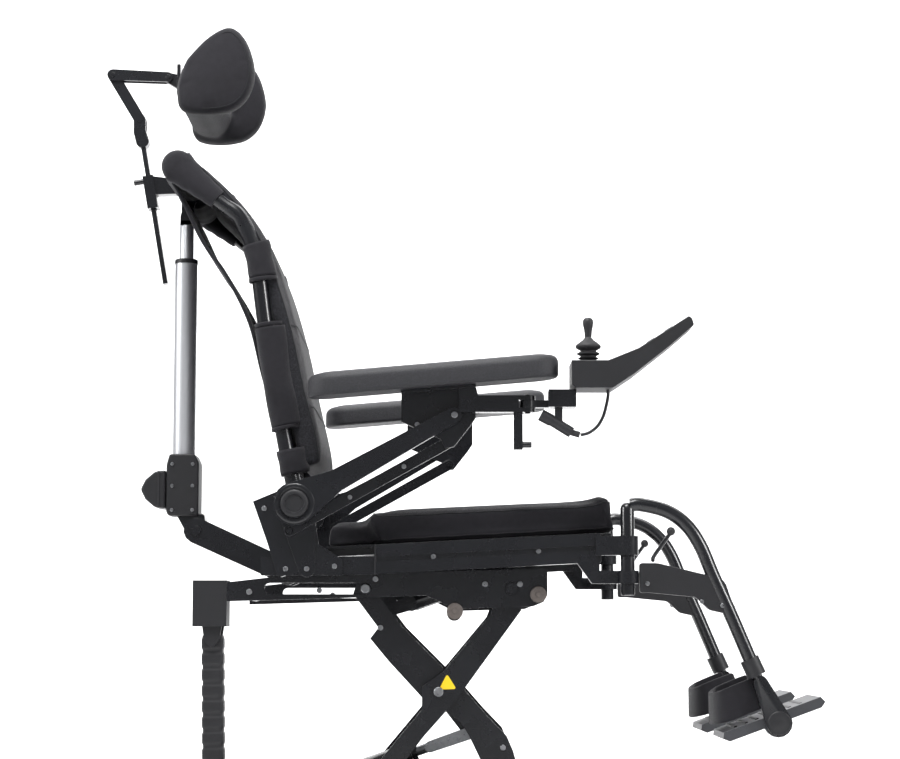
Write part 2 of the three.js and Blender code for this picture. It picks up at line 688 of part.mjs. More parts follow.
// The gear motor's bulged cover, bolted to the rear of the actuator housing.
function reclineMotor() {
  const rear = actuatorX - 26 - gap;
  const middle = housingLow + 44;
  return across(outline([
    [rear, middle - 32], [rear - 18, middle - 30], [rear - 34, middle - 16], [rear - 42, middle],
    [rear - 34, middle + 16], [rear - 18, middle + 30], [rear, middle + 32],
  ]), 30);
}

function reclineRod() {
  const rod = upright(actuatorX, 0, tubeTop - rodInside, rodTop[1] - 15, actuatorRod, 24);
  const head = across(outline([
    [actuatorX - 10, rodTop[1] - 20], [actuatorX + 10, rodTop[1] - 20], [actuatorX + 10, rodTop[1] - 11],
    [actuatorX - 10, rodTop[1] - 11],
  ]), 12);
  const cheeks = [-1, 1].map((side) => slab(link(shift(rodTop, 0, -10), 9.5, rodTop, 9), 5.5, 12, side, 6));
  const heads = [-1, 1].map((side) => pin(rodTop, 5, 11, 14, side, 12));
  return join(rod, head, ...cheeks, ...heads);
}

add('recline_actuator_tube', reclineTube(), anodised);
add('recline_actuator_rod', reclineRod(), anodised);
add('recline_motor', reclineMotor(), blackPlastic);

// ---- Back -----------------------------------------------------------------------------------
const backLine = [
  onBack(0, 0), onBack(-22, 107), onBack(-41, 201), onBack(-55, 296), onBack(-67, 383), onBack(-80, 431),
  onBack(-99, 467), onBack(-128, 489), backTop,
];
const barLean = Math.atan2(barTop[1] - barFoot[1], barTop[0] - barFoot[0]);
const sleeve = between(barFoot, barTop, 0.64);
const besideBar = (centre, along, aside) => shift(centre,
  along * Math.cos(barLean) - aside * Math.sin(barLean), along * Math.sin(barLean) + aside * Math.cos(barLean));
const onBar = (centre, low, high, half) => outline([
  besideBar(centre, low, -half), besideBar(centre, high, -half), besideBar(centre, high, half),
  besideBar(centre, low, half),
]);

function backFrame() {
  const tube = (side) => join(
    pipe(backLine.map(([x, z]) => [x, side * backOut, z]), backTube, 14),
    slab(disc(hub, 21), backOut - backTube, backOut + backTube, side, 6),
  );
  const cross = (p, radius) => pin(p, radius, -backOut, backOut);
  const lug = across(link(backTop, 14, rodTop, 9), 5, 6);
  const clamp = join(
    across(onBar(sleeve, -28, 28, 9), 16),
    across(outline([
      shift(backTop, -2, -10), shift(backTop, -2, 12), shift(backTop, -68, 20), shift(backTop, -62, -12),
    ]), 13),
    bar(atMiddle(besideBar(sleeve, 22, 5)), atMiddle(besideBar(sleeve, 22, 26)), 5, 10),
  );
  const slot = across(onBar(sleeve, -60, 60, 4 + run), 9 + run);
  const eyes = [-1, 1].map((side) => pin(hub, 8 + run, backOut - 30, backOut + 30, side));
  return cut(
    join(
      tube(-1),
      tube(1),
      cross(onBack(-22, 107), 9),
      cross(onBack(-57, 310), 9),
      cross(backTop, backTube),
      lug,
      clamp,
    ),
    slot,
    ...eyes,
  );
}

// The upholstery: foam in front of the tubes, a rear panel between them and a roll over the top.
function backCushion() {
  const front = [
    onBack(38, 67), onBack(31, 108), onBack(12, 191), onBack(-4, 269), onBack(-28, 356), onBack(-54, 423),
    onBack(-90, 478), onBack(-130, 520), onBack(-176, 560),
  ];
  const ahead = (p) => shift(p, backTube + 2, 3);
  const tubes = backLine.slice(1, 5).map(ahead).reverse();
  const rear = [
    onBack(-202, 528), onBack(-190, 500), onBack(-156, 429), onBack(-115, 371), onBack(-74, 288),
    onBack(-56, 191), onBack(-38, 112), onBack(-20, 67),
  ];
  const half = seatWidth / 2 - 10;
  const face = across(outline([...front.slice(0, 6), ...tubes, onBack(-2, 67)]), half);
  const panel = across(outline([...front, ...rear]), backOut - backTube - 3);
  const roll = pin(backTop, 27, -half, half, 1, 20);
  const crossTubes = [onBack(-22, 107), onBack(-57, 310)].map((p) => pin(p, 9 + 1, -half - 5, half + 5, 1, 16));
  const sideTubes = [-1, 1].map((side) => pipe(
    [...backLine.slice(0, 9), shift(backTop, -60, 45)].map(([x, z]) => [x, side * backOut, z]), backTube + 2, 12, 8));
  const notch = block(backTop[0] - 60, backTop[0] + 34, -22, 22, backTop[1] - 90, backTop[1] + 30);
  return cut(
    join(face, panel, roll),
    ...crossTubes,
    ...sideTubes,
    pin(backTop, backTube + 1, -half - 5, half + 5, 1, 20),
    notch,
  );
}

add('back_frame', backFrame(), blackSteel);
add('back_cushion', backCushion(), darkFabric);

// ---- Headrest -------------------------------------------------------------------------------
function headrestBar() {
  const middle = mid(barFoot, barTop);
  const half = Math.hypot(barTop[0] - barFoot[0], barTop[1] - barFoot[1]) / 2;
  const strip = across(onBar(middle, -half, half + 10, 4), 9);
  const socket = across(link(barTop, 11, shift(headLow, 0, -20), 10), 10.5, 6);
  const cheek = link(shift(headLow, 0, -22), 10, headLow, 10);
  const cheeks = [-1, 1].map((side) => slab(cheek, 6 + gap, 10.5, side, 6));
  return join(strip, socket, ...cheeks, pin(headLow, 4, -12, 12, 1, 12));
}

function headrestLinkLower() {
  return cut(
    across(link(headLow, 9.5, headElbow, 9.5), 6),
    pin(headLow, 4 + run, -8, 8, 1, 12),
    pin(headElbow, 4 + run, -8, 8, 1, 12),
  );
}

function headrestLinkUpper() {
  const cheeks = [-1, 1].map((side) => slab(link(headElbow, 9.5, headPivot, 8.5), 6 + gap, 10.5, side));
  return join(...cheeks, pin(headElbow, 4, -12, 12, 1, 12), pin(headPivot, 4, -12, 12, 1, 12),
    pin(mid(headElbow, headPivot), 5, -8, 8, 1, 12));
}

const headPlate = headPivot[0] + 24;                 // front face of the bracket plate

function headrestBracket() {
  const lug = across(link(headPivot, 8.5, [headPlate - 4, headPivot[1] - 8], 12), 6);
  const plate = block(headPlate - 6, headPlate, -35, 35, headPivot[1] - 36, headPivot[1] + 16);
  const trim = block(headPlate - gap, headPlate + 30, -40, 40, headPivot[1] - 60, headPivot[1] + 60);
  return cut(join(cut(lug, trim), plate), pin(headPivot, 4 + run, -8, 8, 1, 12));
}

// Foam behind the head, with a padded wing on each side.
function headrestPad() {
  const wing = outline([
    shift(headPivot, 113, 47), shift(headPivot, 106, 52), shift(headPivot, 80, 30), shift(headPivot, 34, -60),
    shift(headPivot, 31, -78), shift(headPivot, 92, -112), shift(headPivot, 101, -113),
    shift(headPivot, 118, -96), shift(headPivot, 154, -45), shift(headPivot, 156, -37),
  ]);
  const wings = [-1, 1].map((side) => slab(wing, 98, 132, side));
  const rear = across(outline([
    [headPlate + gap, headPivot[1] - 76], [headPlate + 38, headPivot[1] - 86], [headPlate + 44, headPivot[1] - 20],
    [headPlate + 34, headPivot[1] + 26], [headPlate + gap, headPivot[1] + 22],
  ]), 105);
  return join(...wings, rear);
}

add('headrest_bar', headrestBar(), blackSteel);
add('headrest_link_lower', headrestLinkLower(), blackSteel);
add('headrest_link_upper', headrestLinkUpper(), blackSteel);
add('headrest_bracket', headrestBracket(), blackSteel);
add('headrest_pad', headrestPad(), darkFabric);

// ---- Armrests -------------------------------------------------------------------------------
function armrestArm(side) {
  const body = join(
    slab(link(hub, 33.5, shift(hub, 60, 33), 18), armOut, armFace, side, 6),
    slab(link(shift(hub, 40, 22), 18, armFront, 12), armOut, armFace, side),
    slab(disc(hub, 21), armFace - 1, armFace + 4, side, 6),
  );
  return cut(
    body,
    pin(hub, 8 + run, armOut - 5, armFace - 2 + gap, side),
    pin(armFront, 4 + run, armOut - 5, armFace - 4, side),
  );
}

function armrestLink(side) {
  return cut(
    slab(link(lowLinkRear, 9, lowLinkFront, 9), lowLinkOut, lowLinkFace, side),
    pin(lowLinkRear, 5 + run, lowLinkOut - 5, lowLinkFace + 5, side),
    pin(lowLinkFront, 4 + run, lowLinkOut - 5, lowLinkFace + 5, side),
  );
}

const beamY = [padPlateOut + 1, padPlateOut + 25];   // the joystick beam, from inside out
const swing = armFront[0] + 114;                     // X of the joystick's swing pivot
const swingLow = armFront[1] + 4;
const swingOut = (beamY[0] + beamY[1]) / 2;

// The plate under the pad; on the right it also carries the beam of the joystick.
function armrestBracket(side) {
  const left = armFront[0] - 83;
  const right = armFront[0] + 33;
  const plate = slab(outline([
    [left, padUnder(left) - gap], [left, armFront[1] - 10], shift(lowLinkFront, -12, 4),
    shift(lowLinkFront, -6, -10), shift(lowLinkFront, 8, -8), [right - 8, armFront[1] - 16],
    [right, armFront[1] - 4], [right, padUnder(right) - gap],
  ]), padPlateOut, padPlateFace, side);
  const flange = slab(outline([
    [left, padUnder(left) - gap], [left, padUnder(left) - 4], [right, padUnder(right) - 4],
    [right, padUnder(right) - gap],
  ]), padPlateOut - 12, padPlateFace + 24, side);
  const pins = join(
    pin(armFront, 4, padPlateFace - 1, armFace - 4 - gap, side, 12),
    pin(lowLinkFront, 4, lowLinkOut - 2, padPlateOut + 1, side, 12),
  );
  if (side > 0) return join(plate, flange, pins);
  const beam = block(right - 6, swing - 14, -beamY[1], -beamY[0], swingLow, swingLow + 26);
  const ears = [[0, 7], [19, 26]].map(([low, high]) => join(
    upright(swing, -swingOut, swingLow + low, swingLow + high, 12),
    block(swing - 18, swing, -swingOut - 11, -swingOut + 11, swingLow + low, swingLow + high),
  ));
  const root = slab(outline([
    [right - 26, padUnder(right) - 3], [right - 26, swingLow], [right + 4, swingLow], [right + 4, swingLow + 26],
    [right, padUnder(right) - 3],
  ]), padPlateFace - 1, beamY[1], side);
  const lever = block(swing - 22, swing - 8, -swingOut - 7, -swingOut + 7, swingLow - 58, swingLow + 4);
  const screw = bar([swing - 10, -swingOut, swingLow - 50], [swing + 6, -swingOut, swingLow - 50], 5, 12);
  const eye = upright(swing, -swingOut, swingLow - 5, swingLow + 31, 4 + run, 12);
  const armRoom = slab(link(shift(hub, 40, 22), 19, armFront, 14), armOut - 1, armFace + 1, side);
  const rootWithoutArm = cut(root, armRoom);
  return cut(join(plate, flange, pins, beam, ...ears, rootWithoutArm, lever, screw), eye);
}

function armrestPad(side) {
  const front = padRear + padLength;
  const end = padWidth / 2;
  const inner = padOut - end;
  const top = (x) => padUnder(x) + padThick;
  const profile = outline([
    [padRear, padUnder(padRear) + 8], [padRear + 10, padUnder(padRear + 10)], [front - 12, padUnder(front - 12)],
    [front, padUnder(front) + 10], [front, top(front) - 10], [front - 14, top(front - 14)],
    [padRear + 12, top(padRear + 12)], [padRear, top(padRear) - 8],
  ]);
  const plan = new THREE.Shape();
  plan.absarc(padRear + end, 0, end, Math.PI / 2, Math.PI * 1.5);
  plan.absarc(front - end, 0, end, -Math.PI / 2, Math.PI / 2);
  const column = new THREE.ExtrudeGeometry(plan, { depth: 200, bevelEnabled: false, curveSegments: 8 });
  column.translate(0, side * padOut, padUnder(padRear) - 60);
  return slab(profile, inner, inner + padWidth, side).intersect(solid(column));
}

for (const [side, hand] of sides) {
  add(`armrest_arm_${hand}`, armrestArm(side), blackSteel);
  add(`armrest_link_${hand}`, armrestLink(side), blackSteel);
  add(`armrest_bracket_${hand}`, armrestBracket(side), blackSteel);
  add(`armrest_pad_${hand}`, armrestPad(side), padSkin);
}

// ---- Joystick -------------------------------------------------------------------------------
const boxLow = swingLow + 35;                        // underside of the housing
const stickX = swing + 95;
const stickLow = boxLow + 44;

function swingArm() {
  const knuckle = upright(swing, -swingOut, swingLow + 7 + gap, swingLow + 19 - gap, 12);
  const arm = block(swing, swing + 40, -swingOut - 9, -swingOut + 9, swingLow + 7 + gap, swingLow + 19 - gap);
  const cradle = block(swing + 32, swing + 75, -swingOut - 20, -swingOut + 20, swingLow + 7 + gap, boxLow - gap);
  const bolt = upright(swing, -swingOut, swingLow - 2, swingLow + 28, 4, 12);
  return join(knuckle, arm, cradle, bolt);
}

function joystickHousing() {
  const x = swing + 67;
  const shell = slab(outline([
    [x, boxLow + 5], [x + 6, boxLow], [x + 64, boxLow], [x + 97, boxLow + 22], [x + 153, boxLow + 66],
    [x + 190, boxLow + 98], [x + 187, boxLow + 108], [x + 182, boxLow + 112], [x + 104, boxLow + 62],
    [x + 57, boxLow + 43], [x, boxLow + 43],
  ]), swingOut - 41, swingOut + 41, -1);
  return cut(
    shell,
    upright(stickX, -swingOut, stickLow - 24, stickLow + 20, 18, 24),
  );
}

// A gimbal ring under the stick lets it lean both ways.
function joystickGimbal() {
  const ring = cut(
    upright(stickX, -swingOut, stickLow - 17, stickLow - 11, 15, 20),
    upright(stickX, -swingOut, stickLow - 25, stickLow, 10, 20),
  );
  const stubs = [-1, 1].map((s) => bar(
    [stickX, -swingOut + s * 13, stickLow - 14], [stickX, -swingOut + s * (18 - gap), stickLow - 14], 2, 8));
  return join(ring, ...stubs);
}

function joystickStick() {
  const profile = [
    [0, -19], [4, -19], [6, -14], [4, -9], [4, 3.5], [10, 4.5], [16, 7], [12, 10], [18, 13], [12, 17], [19, 22],
    [20, 25], [9, 34], [5, 40], [6, 50], [8, 58], [8, 66], [5, 70], [0, 70],
  ];
  const points = profile.map(([r, z]) => new THREE.Vector2(r, z));
  const geometry = new THREE.LatheGeometry(points, 14);
  geometry.rotateX(Math.PI / 2);
  geometry.translate(stickX, -swingOut, stickLow);
  const pivot = stickLow - 14;
  const trunnion = bar([stickX - 9.6, -swingOut, pivot], [stickX + 9.6, -swingOut, pivot], 2, 8);
  return join(solid(geometry), trunnion);
}

// Points of the lead, chosen by hand: out of the housing's underside, round and into the plug.
const leadRoute = [
  [251, boxLow - gap], [251, 930], [248, 915], [243, 898], [234, 883], [221, 873], [208, 869.5],
];

function joystickLead() {
  return pipe(leadRoute.map(([x, z]) => [x, -swingOut - 6, z]), 2.6, 22, 8);
}

function joystickPlug() {
  const y = -swingOut - 6;
  const relief = bar([206.6, y, 869.7], [192, y, 874], 5, 10);
  const body = bar([194, y, 873], [160, y, 894], 8.5, 16);
  const collar = bar([163, y, 892], [146, y, 901], 9.5, 16);
  const tab = block(168, 180, y - 4, y + 4, 880, swingLow + 7);
  return join(relief, body, collar, tab);
}

add('joystick_swing_arm', swingArm(), blackSteel);
add('joystick_housing', joystickHousing(), blackPlastic);
add('joystick_gimbal', joystickGimbal(), greyPlastic);
add('joystick_stick', joystickStick(), blackPlastic);
add('joystick_lead', joystickLead(), blackPlastic);
add('joystick_plug', joystickPlug(), blackPlastic);

// ---- Legrests -------------------------------------------------------------------------------
const kneeLine = [
  [post + 4, 762], [post + 21, 763], [post + 61, 753], [post + 91, 732], [post + 113, 700], [post + 133, 652],
  [post + 160, 591], kneeEnd,
];
const legAt = (d) => shift(kneeEnd, d * legDrop[0], d * legDrop[1]);

function legrestHanger(side) {
  const y = side * legOut;
  const swivel = upright(post, y, 622, postTop - 4, legTube);
  const cap = upright(post, y, postTop - 20, postTop, legTube - 1.5);
  const tube = pipe(kneeLine.map(([x, z]) => [x, y, z]), legTube, 12);
  const collar = bar([legAt(-26)[0], y, legAt(-26)[1]], [legAt(2)[0], y, legAt(2)[1]], legTube + 4);
  const cover = slab(outline([
    [post + 4, clampLow[1] + 12], [post + 4, 626], [post + 34, 626], [post + 105, 619], [post + 126, 599],
    [post + 168, 590], [post + 152, 640], [post + 145, 648], [post + 46, 672],
  ]), legOut - 8, legOut + 8, side);
  const lugRoom = upright(post, y, clampLow[0] - 0.6, clampLow[1] + 0.6, 18);
  const coverCut = cut(cover, lugRoom);
  const lever = bar([post + 36, side * (legOut + 9), 676], [post + 66, side * (legOut + 9), 718], 4, 10);
  const leverRoot = bar([post + 39, side * (legOut + 1), 680], [post + 39, side * (legOut + 12), 680], 5, 10);
  const leverFoot = block(post + 30, post + 44, side * (legOut - 6), side * (legOut + 7), 660, 686);
  const bore = bar([legAt(-110)[0], y, legAt(-110)[1]], [legAt(10)[0], y, legAt(10)[1]], 8 + run);
  return cut(join(swivel, cap, tube, collar, coverCut, lever, leverRoot, leverFoot), bore);
}

function legTubeLower(side) {
  const y = side * legOut;
  const rod = bar([legAt(-104)[0], y, legAt(-104)[1]], [legAt(20)[0], y, legAt(20)[1]], 8);
  const foot = slab(link(legAt(14), 11, footHub, 20), legOut - 7, legOut + 7, side);
  return join(rod, foot, pin(footHub, 6, legOut - 22, legOut - 5, side, 12));
}

const footSlope = 0.35;                              // rise of the footplate towards the toe
const footLow = shift(footHub, -80, -28);
const onFoot = (along, up) => shift(footLow, along - up * footSlope * 0.95, along * footSlope + up);

function footplate(side) {
  const outer = legOut - 7 - gap;
  const reach = footLength / Math.hypot(1, footSlope);
  const plate = slab(outline([
    onFoot(4, -2), onFoot(reach - 8, 0), onFoot(reach, 6), onFoot(reach - 4, footThick), onFoot(0, footThick - 2),
    onFoot(-4, 5),
  ]), outer - footWidth, outer, side);
  const ear = slab(disc(footHub, 22.5), outer - 12, outer, side, 8);
  return cut(join(plate, ear), pin(footHub, 6 + run, outer - 20, outer + 5, side, 12));
}

// A webbing loop behind the heel, fixed to both edges of the footplate.
function heelStrap(side) {
  const outer = legOut - 7 - gap - 2;
  const inner = outer - footWidth + 4;
  const low = (along) => onFoot(along, footThick + gap);
  const band = outline([
    low(0), low(46), shift(low(70), 8, 32), shift(low(70), -10, 62), shift(low(0), -20, 48),
  ]);
  const hollow = outline([
    shift(low(6), 0, -20), shift(low(90), 0, -20), shift(low(90), 20, 90), shift(low(0), -16, 90),
    shift(low(0), -16, 46),
  ]);
  return cut(slab(band, inner, outer, side), slab(hollow, inner + 3, outer - 3, side));
}

for (const [side, hand] of sides) {
  add(`legrest_hanger_${hand}`, legrestHanger(side), blackSteel);
  add(`leg_tube_${hand}`, legTubeLower(side), blackSteel);
  add(`footplate_${hand}`, footplate(side), greyPlastic);
  add(`heel_strap_${hand}`, heelStrap(side), darkFabric);
}

export default chair;
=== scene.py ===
import json
import math

import bmesh
import bpy
import numpy as np
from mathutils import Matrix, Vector


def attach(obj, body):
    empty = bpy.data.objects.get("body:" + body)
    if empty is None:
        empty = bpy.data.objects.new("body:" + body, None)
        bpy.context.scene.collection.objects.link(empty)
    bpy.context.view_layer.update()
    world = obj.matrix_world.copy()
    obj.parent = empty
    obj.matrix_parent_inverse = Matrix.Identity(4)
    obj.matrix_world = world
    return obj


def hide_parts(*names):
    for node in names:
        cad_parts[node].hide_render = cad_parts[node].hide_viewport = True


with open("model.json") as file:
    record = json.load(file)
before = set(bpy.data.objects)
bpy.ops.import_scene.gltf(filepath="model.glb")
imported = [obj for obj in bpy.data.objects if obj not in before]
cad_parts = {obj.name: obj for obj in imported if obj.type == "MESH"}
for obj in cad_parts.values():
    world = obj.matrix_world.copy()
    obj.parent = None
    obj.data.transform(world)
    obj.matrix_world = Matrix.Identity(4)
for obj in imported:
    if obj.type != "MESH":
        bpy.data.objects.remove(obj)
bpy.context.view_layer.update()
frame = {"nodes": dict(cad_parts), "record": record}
scene = bpy.context.scene
MM = 0.001

# ---- Studio --------------------------------------------------------------------------------
# A sheet of pale paper that curves up behind the chair, lit by soft boxes above and at the
# sides. The camera stands level with the seat lift and looks up a little at the chair's side.
camera = bpy.data.objects.new("camera", bpy.data.cameras.new("camera"))
camera.data.lens = 92.0
camera.location = (0.005, -3.83, 0.563)
camera.rotation_euler = (math.radians(90 + 6.3), 0.0, 0.0)
scene.collection.objects.link(camera)
scene.camera = camera
scene.view_settings.view_transform = "Standard"


def faces_of(rows, columns, ring, loop):
    """Four-sided faces between neighbours of a grid: ring closes each row, loop closes each column."""
    r, c = np.meshgrid(
        np.arange(rows if loop else rows - 1), np.arange(columns if ring else columns - 1), indexing="ij")
    below, right = (r + 1) % rows, (c + 1) % columns
    corners = [r * columns + c, r * columns + right, below * columns + right, below * columns + c]
    return np.stack(corners, axis=-1).reshape(-1, 4)


def surface(name, grid, ring=True, loop=False, capped=True, sharp=40.0):
    """A grid of points [row, column] in millimetres made a mesh: end rows are filled when capped, doubled
    points at poles are joined, faces are turned outwards, and edges over the sharp angle stay crisp."""
    rows, columns = grid.shape[:2]
    faces = faces_of(rows, columns, ring, loop).tolist()
    if capped:
        faces += [list(range(columns)), list(range((rows - 1) * columns, rows * columns))]
    mesh = bpy.data.meshes.new(name)
    mesh.from_pydata((grid.reshape(-1, 3) * MM).tolist(), [], faces)
    work = bmesh.new()
    work.from_mesh(mesh)
    bmesh.ops.remove_doubles(work, verts=work.verts, dist=1e-6)
    bmesh.ops.recalc_face_normals(work, faces=work.faces)
    work.to_mesh(mesh)
    work.free()
    mesh.shade_smooth()
    mesh.set_sharp_from_angle(angle=math.radians(sharp))
    made = bpy.data.objects.new(name, mesh)
    scene.collection.objects.link(made)
    return made


def linear(colour):
    """An sRGB hex colour as linear red, green and blue, with full alpha."""
    srgb = np.array([int(colour[i:i + 2], 16) / 255 for i in (1, 3, 5)])
    plain = np.where(srgb <= 0.04045, srgb / 12.92, ((srgb + 0.055) / 1.055) ** 2.4)
    return (*plain.tolist(), 1.0)


def put(tree, kind, given, **options):
    """Adds a node: options are its settings, and given holds a value or another output for each socket."""
    made = tree.nodes.new(kind)
    for key, value in options.items():
        setattr(made, key, value)
    for key, value in given.items():
        if isinstance(value, bpy.types.NodeSocket):
            tree.links.new(value, made.inputs[key])
        else:
            made.inputs[key].default_value = value
    return made


def start(name):
    """An empty material, its node tree, and the object coordinates that its patterns follow."""
    made = bpy.data.materials.new(name)
    made.use_nodes = True
    made.node_tree.nodes.clear()
    place = put(made.node_tree, "ShaderNodeTexCoord", {}).outputs["Object"]
    return made, made.node_tree, place


def close(tree, given):
    """Ends a material in one Principled shader with the given sockets."""
    shader = put(tree, "ShaderNodeBsdfPrincipled", given)
    put(tree, "ShaderNodeOutputMaterial", {"Surface": shader.outputs[0]})


def noise(tree, place, scale, detail):
    """Cloudy noise in the object's own coordinates, with scale in cycles for each metre."""
    return put(tree, "ShaderNodeTexNoise", {"Vector": place, "Scale": scale, "Detail": detail})


def blend(tree, share, dark, light):
    """A colour that goes from the dark hex colour to the light one as share goes from 0 to 1."""
    return put(tree, "ShaderNodeMix", {0: share, 6: linear(dark), 7: linear(light)}, data_type="RGBA")


def bumps(tree, height, strength, distance):
    """Turns height into a tilted surface: full height stands for distance in metres."""
    return put(tree, "ShaderNodeBump", {"Height": height, "Strength": strength, "Distance": distance})


# Matt background paper: plain white, with only the faint mottling of its fibres.
paper, tree, place = start("background_paper")
fibre = noise(tree, place, 40.0, 2.0)
tone = blend(tree, fibre.outputs[0], "#f4f4f5", "#f9f9f9")
close(tree, {"Base Color": tone.outputs[2], "Roughness": 0.95, "Specular IOR Level": 0.1})

bend = np.linspace(0, math.pi / 2, 16)
sweep_depth = np.concatenate([[-9000], 3500 + 1500 * np.sin(bend), [5000]])
sweep_height = np.concatenate([[0], 1500 - 1500 * np.cos(bend), [7000]])
sweep_width = np.linspace(-9000, 9000, 8)
sweep = surface("paper_sweep", np.stack([
    np.broadcast_to(sweep_width, (len(sweep_depth), 8)),
    np.broadcast_to(sweep_depth[:, None], (len(sweep_depth), 8)),
    np.broadcast_to(sweep_height[:, None], (len(sweep_depth), 8))], axis=-1), ring=False, capped=False)
sweep.data.materials.append(paper)


def soft_box(name, place, target, width, power):
    """A square area light of that width in metres at place, turned so that it faces target."""
    lamp = bpy.data.lights.new(name, "AREA")
    lamp.size = width
    lamp.energy = power
    made = bpy.data.objects.new(name, lamp)
    made.location = place
    made.rotation_euler = (Vector(target) - Vector(place)).to_track_quat("-Z", "Y").to_euler()
    scene.collection.objects.link(made)


soft_box("light_above", (-0.4, -1.3, 3.4), (0, 0, 0.9), 1.5, 120)
soft_box("light_front", (3.0, -1.6, 1.9), (0, 0, 0.8), 0.8, 60)
soft_box("light_rear", (-3.0, -1.0, 2.0), (0, 0, 0.9), 0.7, 45)
soft_box("light_paper", (0, 1.6, 3.8), (0, 4.6, 1.2), 4.0, 330)

world = bpy.data.worlds.new("studio")
world.use_nodes = True
world.node_tree.nodes["Background"].inputs["Color"].default_value = linear("#f5f6f8")
world.node_tree.nodes["Background"].inputs["Strength"].default_value = 0.3
scene.world = world


# ---- Joystick lead -------------------------------------------------------------------------
# The joystick's cable: a soft PVC jacket over a few thin cores. It leaves the underside of the
# housing, hangs round in one short bend and ends in a plug under the beam.
swing_out = 262                         # how far out, on the user's right, the joystick stands
lead_thick = 5.2


def through(points, count):
    """Catmull-Rom curve through the points: on each stretch a cubic whose end slopes are half the
    difference of the points on either side."""
    p = np.asarray(points, float)
    wide = np.vstack([2 * p[0] - p[1], p, 2 * p[-1] - p[-2]])
    t = np.linspace(0, len(p) - 1, count)
    i = np.minimum(t.astype(int), len(p) - 2)
    u = (t - i)[:, None]
    a, b, c, d = wide[i], wide[i + 1], wide[i + 2], wide[i + 3]
    square_part = (2 * a - 5 * b + 4 * c - d) * u ** 2
    cube_part = (3 * b - a - 3 * c + d) * u ** 3
    return 0.5 * (2 * b + (c - a) * u + square_part + cube_part)


def carried(path, across, aside, side=(0, 1, 0)):
    """A ring carried along a path: each point is the path's, plus across times the normal that lies in the
    plane square to side, plus aside times the direction square to both."""
    way = np.gradient(path, axis=0)
    way /= np.linalg.norm(way, axis=1, keepdims=True)
    normal = np.cross(np.broadcast_to(np.asarray(side, float), way.shape), way)
    normal /= np.linalg.norm(normal, axis=1, keepdims=True)
    level = np.cross(way, normal)
    across, aside = np.atleast_2d(across)[..., None], np.atleast_2d(aside)[..., None]
    return path[:, None] + across * normal[:, None] + aside * level[:, None]


def circle(sides):
    """Cosine and sine of equal steps round a circle."""
    turn = np.linspace(0, 2 * math.pi, sides, endpoint=False)
    return np.cos(turn), np.sin(turn)


def round_rod(name, path, radius, sides=24):
    """A round rod or tube: a circle of the radius carried along the path."""
    c, s = circle(sides)
    return surface(name, carried(path, radius * c, radius * s))


def fit(piece, body, slot, look, *nodes):
    """Gives a piece its material and the body it rides on, and hides the nodes that it stands for; slot is
    not used.
    """
    piece.data.materials.clear()
    piece.data.materials.append(look)
    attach(piece, body)
    if nodes:
        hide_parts(*nodes)
    return piece


def broken_edges(piece, radius, angle=50.0, segments=2):
    """Rounds every edge that turns by more than the angle, to a radius in millimetres."""
    bevel = piece.modifiers.new("edge_radius", "BEVEL")
    bevel.width = radius * MM
    bevel.segments = segments
    bevel.limit_method = "ANGLE"
    bevel.angle_limit = math.radians(angle)
    bevel.harden_normals = True
    return piece


def finished(node, radius, name=None, sharp=50.0):
    """A CAD node's own surface as a new piece: its triangles are merged into flat faces, and its edges
    are rounded to the radius in millimetres."""
    source = frame["nodes"][node].data
    points = np.empty(len(source.vertices) * 3)
    source.vertices.foreach_get("co", points)
    corners = np.empty(len(source.loops), int)
    source.loops.foreach_get("vertex_index", corners)
    mesh = bpy.data.meshes.new(name or node + "_finished")
    mesh.from_pydata(points.reshape(-1, 3).tolist(), [], corners.reshape(-1, 3).tolist())
    work = bmesh.new()
    work.from_mesh(mesh)
    bmesh.ops.remove_doubles(work, verts=work.verts, dist=2e-6)
    bmesh.ops.dissolve_limit(work, angle_limit=math.radians(0.6), verts=work.verts, edges=work.edges)
    work.to_mesh(mesh)
    work.free()
    mesh.shade_smooth()
    mesh.set_sharp_from_angle(angle=math.radians(sharp))
    made = bpy.data.objects.new(mesh.name, mesh)
    scene.collection.objects.link(made)
    return broken_edges(made, radius, sharp)


# Flexible PVC: extruded, dull and very slightly uneven along its length.
cable_pvc, tree, place = start("cable_pvc")
ripple = noise(tree, place, 260.0, 3.0)
tone = blend(tree, ripple.outputs[0], "#17171a", "#232327")
lump = bumps(tree, ripple.outputs[0], 0.2, 0.0003)
close(tree, {"Base Color": tone.outputs[2], "Roughness": 0.5, "Normal": lump.outputs[0]})

lead_route = through([
    [x, -swing_out - 6, z] for x, z in
    [(251, 939.7), (251, 930), (248, 915), (243, 898), (234, 883), (221, 873), (208, 869.5)]], 40)
lead = fit(round_rod("joystick_lead_cable", lead_route, lead_thick / 2, 16),
           "joystick_arm", "black_plastic", cable_pvc, "joystick_lead")
plug = fit(finished("joystick_plug", 0.8, sharp=28.0),
           "joystick_arm", "black_plastic", cable_pvc, "joystick_plug")


# ---- Steel frame, plates and brackets -------------------------------------------------------
# Laser-cut and welded steel, and turned pins, all powder coated together in satin black. Each
# edge is broken by a small radius, as the coating leaves it.

